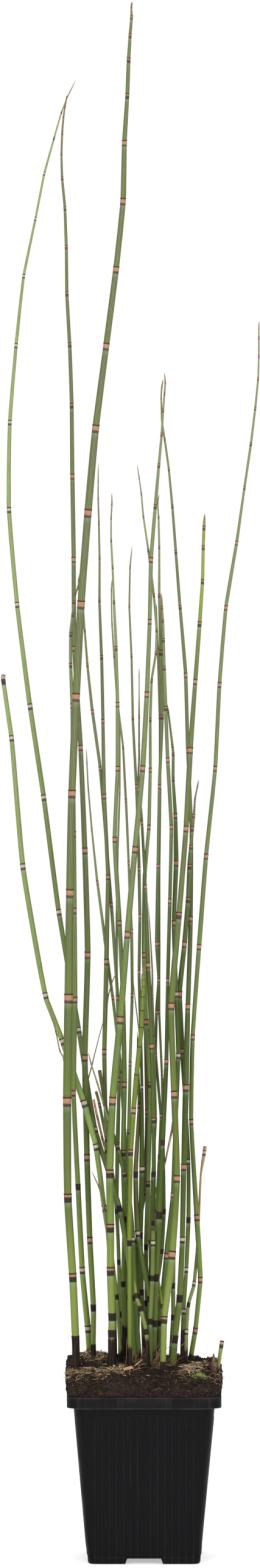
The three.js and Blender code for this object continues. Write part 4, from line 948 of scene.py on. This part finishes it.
def stem_joints(node):
    """A stem's own measures from its rings: a rim is a ring with the narrower neck just above it."""
    centres, radius = stem_rings(node)
    gaps = np.linalg.norm(np.diff(centres, axis=0), axis=1)
    rims = np.flatnonzero((np.abs(gaps - NECK_RISE) < 0.04) & (radius[1:] < 0.9 * radius[:-1])
                          & (radius[1:] > 0.05))
    facing = (centres[rims + 1] - centres[rims]) / gaps[rims, None]
    cut = radius[-1] < 0.05 and gaps[-1] < 0.05
    return {"collar": centres[1], "foot_radius": radius[0], "rims": centres[rims], "facing": facing,
            "radius": radius[rims] / SHEATH_RIM, "end": centres[-1], "cut": cut, "end_radius": radius[-2]}


def section_stations(length, sheath, first):
    """Stations along one joint of a stem, as distance above the rim below and share of the radius:
    out of the old sheath, up the ridged stem, and up the new sheath to its rim. On the lowest
    joint they start in the soil."""
    scale = min(1.0, length / 9.0)
    if first:
        rise = [(0, 1.0), (0.12 * length, 1.0), (0.25 * length, 1.0), (0.4 * length, 1.0)]
    else:
        rise = [(0.12 * scale, 0.945), (0.5 * scale, 0.95), (1.7 * scale, 0.97), (4.6 * scale, 0.998)]
    foot = length - sheath
    start = rise[-1][0]
    rest = foot - 1.0 * scale - start
    pieces = max(1, int(rest / 16))
    rise += [(start + rest * k / pieces, 1.0) for k in range(1, pieces + 1)]
    climb = [(foot - 0.3 * scale, 1.01), (foot, 0.985), (foot + 0.35 * scale, 1.01),
             (foot + 0.4 * sheath, 1.025), (foot + 0.7 * sheath, 1.035), (length - 0.16 * sheath, 1.045),
             (length - 0.12 * sheath, 1.065), (length - 0.03 * sheath, 1.065)]
    return np.array(rise + climb)


def dryness(node, slot, joint, count):
    """How dry and brown a joint is, from 0 to 1: straw is dry all through, and the last two joints
    of a stem that ends in its own tip are partly so."""
    if slot == "straw":
        return 0.0 if node == "stem_33" and joint < 4 else 1.0
    brown_joints = 4 if node == "stem_04" else 2
    most = 0.9 if node == "stem_04" else 0.45
    return most * float(np.clip((joint - count + brown_joints + 1) / 3, 0, 1))


def close_tip(node, slot, measures, ring):
    """The rings past a stem's last rim, and the point that closes them. A cut end has a thin wall
    round a bore darkened with painted shade, and any other end is a cone that narrows slowly at
    first and then faster."""
    end, top, facing = measures["end"], measures["rims"][-1], measures["facing"][-1]
    size, count = measures["radius"][-1], len(measures["rims"])
    tail = np.linalg.norm(end - top)
    way = (end - top) / tail
    dead = 0.0 if node in HIDDEN_TIPS or (measures["cut"] and slot != "straw") else 1.0
    if not measures["cut"]:
        for part, share in ((0.06, 0.92), (0.25, 0.9), (0.5, 0.75), (0.75, 0.5), (0.93, 0.2)):
            ring(top + (end - top) * part, way, size * share, 0.03, count, 20, part * tail, 3, NO_SHEATH,
                 dead * (0.25 + 0.7 * part))
        return end
    sheath, look = END_SHEATHS.get(node, (3.0, NO_SHEATH))
    nearest = 0.0 if node in END_SHEATHS else 40.0
    for up, share in ((0.15, 0.925), (0.6, 0.94), (2.0, 0.98)):
        up *= min(1.0, tail / 5)
        if up < tail - 0.4:
            ring(top + facing * up, facing, size * share, 0.03, count, max(nearest, tail - up), up,
                 sheath, look, dead)
    # Rings down into the bore of a cut end; their last mark paints the bore near black, as painted shade.
    for back, share, crevice_shade in ((0.12, 1.0, 0.1), (0.0, 0.96, 0.2), (0.0, 0.72, 0.3),
                                 (0.4, 0.66, 1.0), (2.4, 0.6, 1.0)):
        ring(end - way * back, way, measures["end_radius"] * share, 0.02, count, max(nearest, back), 40,
             sheath, look, max(dead, 0.5), crevice_shade)
    return end - way * 2.5


def make_stem(node, slot):
    """One stem: rings of points with a crest and a valley for each ridge. Up a joint the line is a
    Hermite curve that leaves the rim below and meets the sheath above along their own directions,
    and the radius runs evenly from one rim's to the next's. Crests and valleys change places at
    every joint, and teeth rise from the crests of each rim."""
    measures = stem_joints(node)
    rims, facing, size = measures["rims"], measures["facing"], measures["radius"]
    count = len(rims)
    thick = 2 * np.median(size[: max(2, count // 2)])
    ridges = int(np.clip(round(4 + 1.9 * thick), 6, 15))
    column = np.arange(2 * ridges)
    tooth = STEM_RNG.random((count + 1, 2 * ridges))
    looks = STEM_SHEATHS.get(node, SHEATHS_REST)
    looks = [SHEATH_LOOKS[looks[min(k, len(looks) - 1)]] for k in range(count)]
    young_from, young_low, young_high = YOUTH.get(node, (0, 0, 0))
    stain = BASE_STAIN.get(node, STEM_RNG.uniform(*BASE_STAIN_REST))
    rings = []

    def ring(centre, way, radius, depth, phase, down, up, sheath, look, dead, crevice_shade=0.0, soot=50.0,
             teeth=np.zeros(2 * ridges)):
        """Keeps a ring: its place and way, how far its teeth rise, its radius, the depth and phase
        of its ridges, and the marks that its colours go by. Of these, down and up are distances to
        the rims above and below, and 20 or more is past every band."""
        share = float(np.clip((centre[2] - young_from) / 60, 0, 1))
        youth = young_low + (young_high - young_low) * share
        tan, ashy, _, marked = look
        rings.append((centre, way, teeth, (radius, depth, phase, down, up, sheath, tan, ashy, dead,
                                           crevice_shade, soot, youth, marked)))

    upright = np.array([0, 0, 1.0])
    root = measures["collar"] - upright * FOOT_BURIED
    starts = np.vstack([root, rims[:-1]])
    start_ways = np.vstack([upright, facing[:-1]])
    start_sizes = np.append(measures["foot_radius"], size[:-1])
    lengths = np.linalg.norm(rims - starts, axis=1)
    for k in range(count):
        low, low_way, low_size, length = starts[k], start_ways[k], start_sizes[k], lengths[k]
        high, high_way = rims[k], facing[k]
        gap = min(length, lengths[min(k + 1, count - 1)])
        sheath = min(1.12 * (1.2 + 0.85 * 2 * size[k]), 0.46 * gap)
        stations = section_stations(length, sheath, k == 0)
        first = stations[0, 0]
        begin, end = low + low_way * first, high - high_way * sheath
        bend = 0.45 * np.linalg.norm(end - begin)
        dead = 0.0 if measures["cut"] and slot != "straw" else dryness(node, slot, k, count)
        for s, share in stations:
            if s >= length - sheath:
                centre, way = high - high_way * (length - s), high_way
            else:
                t = (s - first) / max(length - sheath - first, 1e-6)
                centre = ((2 * t ** 3 - 3 * t ** 2 + 1) * begin + (t ** 3 - 2 * t ** 2 + t) * bend * low_way
                          + (3 * t ** 2 - 2 * t ** 3) * end + (t ** 3 - t ** 2) * bend * high_way)
                way = low_way * (1 - t) + high_way * t
            radius = (low_size + (size[k] - low_size) * min(1, s / (length - sheath))) * share
            depth = 0.022 if s > length - sheath + 0.1 else 0.034
            soot = s - FOOT_BURIED - SOIL_OVER_COLLAR - stain if k == 0 else 50.0
            ring(centre, way, radius, depth, k, length - s, s, sheath, looks[k], dead, soot=soot)
        teeth = (0.35 + 0.9 * tooth[k]) * looks[k][2] * min(1.0, size[k] / 1.6) * min(1.0, gap / 10)
        teeth = np.where((column + k) % 2 == 0, teeth, 0)
        # The rim's own rings: its lip, its teeth, and two rings tucked inside it, whose fifth value paints
        # the gap between the sheath and the stem near black, as painted shade.
        for back, share, depth, down, crevice_shade, rise in (
                (0, 1.055, 0.02, 0.0, 0.0, 0 * teeth), (0, 1.02, 0.02, -0.6, 0.0, teeth),
                (0.05, 0.99, 0.01, 0.0, 1.0, 0 * teeth), (0.35, 0.95, 0.01, 0.3, 1.0, 0 * teeth)):
            ring(high - high_way * back, high_way, size[k] * share, depth, k, down, 60.0, sheath,
                 looks[k], dead, crevice_shade, teeth=rise)
    tip = close_tip(node, slot, measures, ring)
    build_stem(node, slot, rings, column, tip, root)


def build_stem(node, slot, rings, column, tip, root):
    """Rings to a closed mesh: a point is its ring's centre, out across the ring's own two axes by
    the radius, which rises on crests and falls in valleys, plus the rim's teeth along the stem."""
    centre = np.array([line[0] for line in rings])
    way = np.array([line[1] for line in rings])
    rise = np.array([line[2] for line in rings])
    marks = np.array([line[3] for line in rings], float)[..., None]
    (radius, depth, phase, down, up, sheath, tan, ashy, dead, crevice_shade, soot, youth,
     marked) = np.moveaxis(marks, 1, 0)
    way /= np.linalg.norm(way, axis=1, keepdims=True)
    across = np.array([1.0, 0, 0]) - way * way[:, :1]
    across /= np.linalg.norm(across, axis=1, keepdims=True)
    over = np.cross(way, across)
    angle = column * 2 * math.pi / len(column)
    out = np.cos(angle)[:, None] * across[:, None] + np.sin(angle)[:, None] * over[:, None]
    crest = np.where((column + phase) % 2 == 0, 1.0, -1.0)
    spread_by = radius * (1 + depth * crest)
    points = centre[:, None] + spread_by[..., None] * out + rise[..., None] * way[:, None]
    rows, columns = points.shape[:2]
    faces = grid_faces(rows, columns).tolist()
    flat = np.vstack([points.reshape(-1, 3), root, tip])
    high = (rows - 1) * columns + column
    faces += np.stack([np.full(columns, len(flat) - 2), np.roll(column, -1), column], -1).tolist()
    faces += np.stack([np.full(columns, len(flat) - 1), high, np.roll(high, -1)], -1).tolist()
    mesh = mesh_of("ridged_" + node, flat, faces)

    def on_points(values):
        grid = np.broadcast_to(values, (rows, columns)).reshape(-1)
        return np.concatenate([grid, grid[:1], grid[-1:]]).astype(np.float32)

    tone = np.full((rows, 1), STEM_TONES.get(node, STEM_RNG.random()))
    below_tooth = down - np.where(rise > 0, rise - 0.6, 0)
    sets = {"joint": (below_tooth, up, sheath), "band": (tan, ashy, soot),
            "skin": (crest * 0.5 + 0.5, dead, crevice_shade), "growth": (youth, marked, tone)}
    for name, values in sets.items():
        attribute = mesh.attributes.new(name, "FLOAT_VECTOR", "POINT")
        attribute.data.foreach_set("vector", np.stack([on_points(value) for value in values], -1).ravel())
    # How far the stem's foot stands from the clump's middle: its material paints shade on stems near it and
    # light on the lower parts of stems far from it.
    light = min(1.0, math.dist(root[:2], CLUMP_MIDDLE) / CLUMP_REACH)
    faded = np.clip((FADED_FROM - radius) / (FADED_FROM - FADED_TO), 0, 1) * (slot != "stem_pale")
    for name, value in (("light", light), ("faded", faded)):
        attribute = mesh.attributes.new(name, "FLOAT", "POINT")
        attribute.data.foreach_set("value", on_points(value))
    mesh.materials.append(STEM_SKINS[slot])
    link_piece("ridged_" + node, mesh, node)


def jointed_skin():
    """The node group that every stem's material uses: colour, roughness and relief from the marks
    on the mesh and the height in metres. The skin is green, yellower where young, duller on thin
    stems, with painted shade in the furrows, in the middle of the clump, in the crevices under the
    sheaths' rims and in the bore of a cut end, paler lines on the ridges as a painted highlight, and
    painted light that makes the lower parts of the outer stems paler and yellower. Down a sheath it
    goes from a dark ring over a tan or ashy band to a dark band with a ragged edge, and then through
    a grey bloom to the green. Near the soil it is stained brown, with a rusty halo."""
    group = bpy.data.node_groups.new("jointed_skin", "ShaderNodeTree")
    greens = {"Fresh": (0.19, 0.29, 0.05, 1), "Grown": (0.08, 0.17, 0.035, 1),
              "Aged": (0.16, 0.22, 0.09, 1), "Dry": (0.45, 0.26, 0.12, 1)}
    for name, value in greens.items():
        socket = group.interface.new_socket(name, in_out="INPUT", socket_type="NodeSocketColor")
        socket.default_value = value
    for name, kind in {"Color": "Color", "Roughness": "Float", "Height": "Float"}.items():
        group.interface.new_socket(name, in_out="OUTPUT", socket_type="NodeSocket" + kind)
    given = group.nodes.new("NodeGroupInput").outputs
    result = group.nodes.new("NodeGroupOutput").inputs

    def marks(name):
        mark = wire(group, "ShaderNodeAttribute", attribute_name=name).outputs["Vector"]
        return wire(group, "ShaderNodeSeparateXYZ", {0: mark}).outputs

    def reach(value, start, end, low=0.0, high=1.0):
        return fade(group, value, start, end, low, high)

    down, up, sheath = marks("joint")
    tan_share, ashy, soot = marks("band")
    ridge, dead, crevice_shade = marks("skin")
    youth, marked, tone = marks("growth")
    light = wire(group, "ShaderNodeAttribute", attribute_name="light").outputs["Fac"]
    faded = wire(group, "ShaderNodeAttribute", attribute_name="faded").outputs["Fac"]
    place = wire(group, "ShaderNodeTexCoord").outputs["Object"]
    height = wire(group, "ShaderNodeSeparateXYZ", {0: place}).outputs[2]
    fine = noise(group, place, 1900.0, 3.0)
    ragged = noise(group, place, 1500.0, 2.0, stretch=(1, 1, 0.6))
    cloud = noise(group, place, 130.0, 3.0, stretch=(1, 1, 0.35))
    streak = noise(group, place, 900.0, 3.0, stretch=(1, 1, 0.05))

    fresh = times(group, reach(up, 2.0, 40.0, 1.0, 0.0), reach(height, 0.25, 0.55, 0.8, 0.35))
    # Painted shade: the furrows between the ridges are darkened, more so higher up.
    furrow_shade = times(group, reach(ridge, 0.45, 0.0), reach(height, 0.25, 0.7, 0.12, 0.55))
    # Painted highlight: paler lines along the ridge crests, for the light they catch, more so higher up.
    line = times(group, reach(ridge, 0.66, 1.0), reach(height, 0.15, 0.65, 0.14, 0.75))
    skin = mix(group, reach(height, 0.30, 0.62), given["Grown"], given["Aged"])
    for mask, paint in (
            (fresh, given["Fresh"]),
            (reach(cloud, 0.3, 0.75, 0.0, 0.3), given["Aged"]),
            (reach(streak, 0.45, 0.75, 0.0, 0.35), (0.035, 0.060, 0.014, 1)),
            (times(group, faded, 0.5), (0.235, 0.245, 0.105, 1)),
            (youth, (0.30, 0.40, 0.035, 1)),
            (furrow_shade, (0.050, 0.078, 0.018, 1)),
            # painted highlight on the ridges
            (line, (0.36, 0.42, 0.24, 1))):
        skin = mix(group, mask, skin, paint)
    hue, value = reach(tone, 0.0, 1.0, 0.494, 0.512), reach(tone, 0.0, 1.0, 0.78, 1.14)
    toned = {"Hue": hue, "Value": value, "Color": skin}
    skin = wire(group, "ShaderNodeHueSaturation", toned).outputs[0]
    # Painted shade: stems near the clump's middle, at mid height, are darkened towards a deep green.
    shade = times(group, reach(light, 0.3, 1.0, 0.70, 0.04), reach(height, 0.72, 0.38))
    shade = times(group, shade, reach(height, 0.17, 0.27, 0.55, 1.0))
    skin = mix(group, shade, skin, (0.026, 0.048, 0.003, 1))
    # Painted light: the lower parts of stems away from the clump are painted paler and yellower, as if lit
    # more.
    foot = times(group, reach(height, 0.27, 0.18, 0.0, 0.75), reach(light, 0.5, 1.0, 0.15, 1.0))
    skin = mix(group, foot, skin, (0.200, 0.262, 0.056, 1))
    dry = mix(group, reach(streak, 0.35, 0.7), given["Dry"], (0.25, 0.13, 0.06, 1))
    skin = mix(group, dead, skin, dry)

    share = calc(group, "DIVIDE", down, sheath)
    uneven = calc(group, "MULTIPLY_ADD", ragged, 0.30, -0.15)
    comb = calc(group, "MULTIPLY_ADD", ridge, 0.02, -0.01)
    edge = calc(group, "ADD", share, calc(group, "ADD", uneven, comb))
    low = reach(height, 0.45, 0.22)
    deep = mix(group, low, (0.036, 0.023, 0.022, 1), (0.011, 0.0075, 0.006, 1))
    dusk = mix(group, low, (0.10, 0.064, 0.056, 1), (0.036, 0.023, 0.018, 1))
    dark = mix(group, reach(fine, 0.35, 0.7), deep, dusk)
    dark = mix(group, times(group, faded, 0.65), dark, (0.15, 0.085, 0.065, 1))
    tan = mix(group, reach(fine, 0.3, 0.75), (0.46, 0.25, 0.13, 1), (0.27, 0.13, 0.075, 1))
    ash = mix(group, reach(fine, 0.3, 0.7), (0.60, 0.53, 0.44, 1), (0.42, 0.32, 0.26, 1))
    band = reach(calc(group, "SUBTRACT", tan_share, edge), -0.08, 0.12)
    ring = reach(calc(group, "MULTIPLY_ADD", ragged, 0.08, share), 0.20, 0.15)
    ring = times(group, ring, calc(group, "MINIMUM", times(group, marked, 8.0), 1.0))
    ring_colour = mix(group, low, (0.050, 0.024, 0.018, 1), (0.022, 0.013, 0.010, 1))
    ring_colour = mix(group, times(group, faded, 0.5), ring_colour, (0.14, 0.075, 0.055, 1))
    stain = calc(group, "MULTIPLY_ADD", cloud, 8.0, calc(group, "SUBTRACT", soot, 8.5))
    stain = calc(group, "MULTIPLY_ADD", streak, 9.0, stain)
    stained = reach(stain, 0.9, -0.9)
    brown = mix(group, reach(streak, 0.35, 0.65), (0.010, 0.007, 0.006, 1), (0.042, 0.025, 0.019, 1))
    for mask, paint in (
            (times(group, reach(edge, 1.0, 1.9, 0.34, 0.0), marked), (0.27, 0.32, 0.20, 1)),
            (times(group, reach(edge, 1.08, 0.90), marked), dark),
            (times(group, band, marked), mix(group, ashy, tan, ash)),
            (ring, ring_colour),
            (reach(down, -0.08, -0.3, 0.0, 0.85), (0.30, 0.21, 0.105, 1)),
            (reach(stain, 2.6, 0.2, 0.0, 0.6), (0.13, 0.055, 0.022, 1)),
            (stained, brown),
            # painted shade in the crevices under the rims and in cut bores
            (crevice_shade, (0.012, 0.008, 0.006, 1))):
        skin = mix(group, mask, skin, paint)
    group.links.new(skin, result["Color"])
    rough = calc(group, "MAXIMUM", reach(edge, 1.2, 0.9, 0.36, 0.62), times(group, stained, 0.78))
    group.links.new(calc(group, "MULTIPLY_ADD", fine, 0.12, rough), result["Roughness"])
    group.links.new(calc(group, "MULTIPLY_ADD", streak, 0.5, fine), result["Height"])
    return group


def stem_skin(name, fresh, grown, aged, dry=(0.20, 0.115, 0.075)):
    """A satin stem surface in its own greens, through the shared group of bands."""
    material, tree, shader = new_material(name)
    node = wire(tree, "ShaderNodeGroup", node_tree=JOINTED_SKIN)
    for socket, value in {"Fresh": fresh, "Grown": grown, "Aged": aged, "Dry": dry}.items():
        node.inputs[socket].default_value = (*value, 1)
    tree.links.new(node.outputs["Color"], shader.inputs["Base Color"])
    tree.links.new(node.outputs["Roughness"], shader.inputs["Roughness"])
    relief = {"Height": node.outputs["Height"], "Strength": 0.2, "Distance": 0.0001}
    tree.links.new(wire(tree, "ShaderNodeBump", relief).outputs[0], shader.inputs["Normal"])
    shader.inputs["Specular IOR Level"].default_value = 0.16
    return material


JOINTED_SKIN = jointed_skin()
STEM_SKINS = {
    "stem_green": stem_skin(
        "green_stem", (0.160, 0.218, 0.034), (0.110, 0.160, 0.028), (0.150, 0.168, 0.072)),
    "stem_pale": stem_skin(
        "pale_stem", (0.270, 0.345, 0.080), (0.180, 0.245, 0.060), (0.240, 0.275, 0.098)),
    "stem_young": stem_skin(
        "young_stem", (0.160, 0.222, 0.028), (0.112, 0.160, 0.022), (0.142, 0.166, 0.058)),
    "stem_thin": stem_skin(
        "thin_stem", (0.255, 0.275, 0.080), (0.185, 0.205, 0.058), (0.232, 0.222, 0.092)),
    "straw": stem_skin(
        "dry_stem", (0.35, 0.36, 0.13), (0.30, 0.32, 0.12), (0.30, 0.32, 0.14), (0.45, 0.26, 0.12)),
}
for row in frame["record"]["subparts"]:
    if row["node"].startswith("stem_"):
        make_stem(row["node"], row["material_slot"])

# ---------------------------------------------------------------- floor and light
# A wide pale floor under a white sky, with two large soft lights in front to the left and right
# and a weaker one above, as in a product studio. The sky gives less light from its left and right,
# where a studio has dark flags, so that the sides of the stems turn darker.
FLOOR_RADIUS = 14.0
FLOOR_GLOW = 0.45  # a little light of the paper's own, which keeps it white towards the horizon
SKY_STRENGTH = 1.03
SIDE_LIGHT = 0.2  # share of the sky's light that is left at its sides
LIGHTS = {  # place, size and strength: metres and watts
    "left_softbox": ((-1.5, -3.4, 1.5), 1.4, 42.0),
    "right_softbox": ((1.7, -3.2, 1.2), 1.4, 34.0),
    "top_softbox": ((0.2, -0.6, 3.2), 1.8, 10.0),
}

around = np.linspace(0, 2 * math.pi, 96, endpoint=False)
edge = np.stack([np.cos(around), np.sin(around), np.zeros(96)], -1) * FLOOR_RADIUS * 1000
floor = bpy.data.objects.new("floor", mesh_of("floor", edge, [list(range(96))], False))
bpy.context.scene.collection.objects.link(floor)
paper, paper_tree, paper_shader = new_material("pale_paper")
paper_place = wire(paper_tree, "ShaderNodeTexCoord").outputs["Object"]
paper_cloud = noise(paper_tree, paper_place, 3.0)
paper_tree.links.new(mix(paper_tree, paper_cloud, (0.955, 0.955, 0.955, 1), (0.97, 0.97, 0.97, 1)),
                     paper_shader.inputs["Base Color"])
paper_shader.inputs["Roughness"].default_value = 0.9
paper_shader.inputs["Emission Color"].default_value = (1.0, 1.0, 1.0, 1)
paper_shader.inputs["Emission Strength"].default_value = FLOOR_GLOW
floor.data.materials.append(paper)

for light_name, (spot, width, power) in LIGHTS.items():
    lamp = bpy.data.lights.new(light_name, "AREA")
    lamp.shape = "DISK"
    lamp.size = width
    lamp.energy = power
    light = bpy.data.objects.new(light_name, lamp)
    light.location = spot
    aim = Vector((0, 0, 0.5)) - Vector(spot)
    light.rotation_euler = aim.to_track_quat("-Z", "Y").to_euler()
    bpy.context.scene.collection.objects.link(light)

sky = bpy.data.worlds.new("white_sky")
sky.use_nodes = True
sky_tree = sky.node_tree
background = sky_tree.nodes["Background"]
way_seen = wire(sky_tree, "ShaderNodeTexCoord").outputs["Generated"]
sideways = calc(sky_tree, "ABSOLUTE", wire(sky_tree, "ShaderNodeSeparateXYZ", {0: way_seen}).outputs[0])
flagged = fade(sky_tree, sideways, 0.25, 0.80, 1.0, SIDE_LIGHT)
seen = wire(sky_tree, "ShaderNodeLightPath").outputs["Is Camera Ray"]
strength = times(sky_tree, calc(sky_tree, "MAXIMUM", flagged, seen), SKY_STRENGTH)
background.inputs["Color"].default_value = (1.0, 1.0, 1.0, 1)
sky_tree.links.new(strength, background.inputs["Strength"])
bpy.context.scene.world = sky
bpy.context.scene.view_settings.view_transform = "Standard"
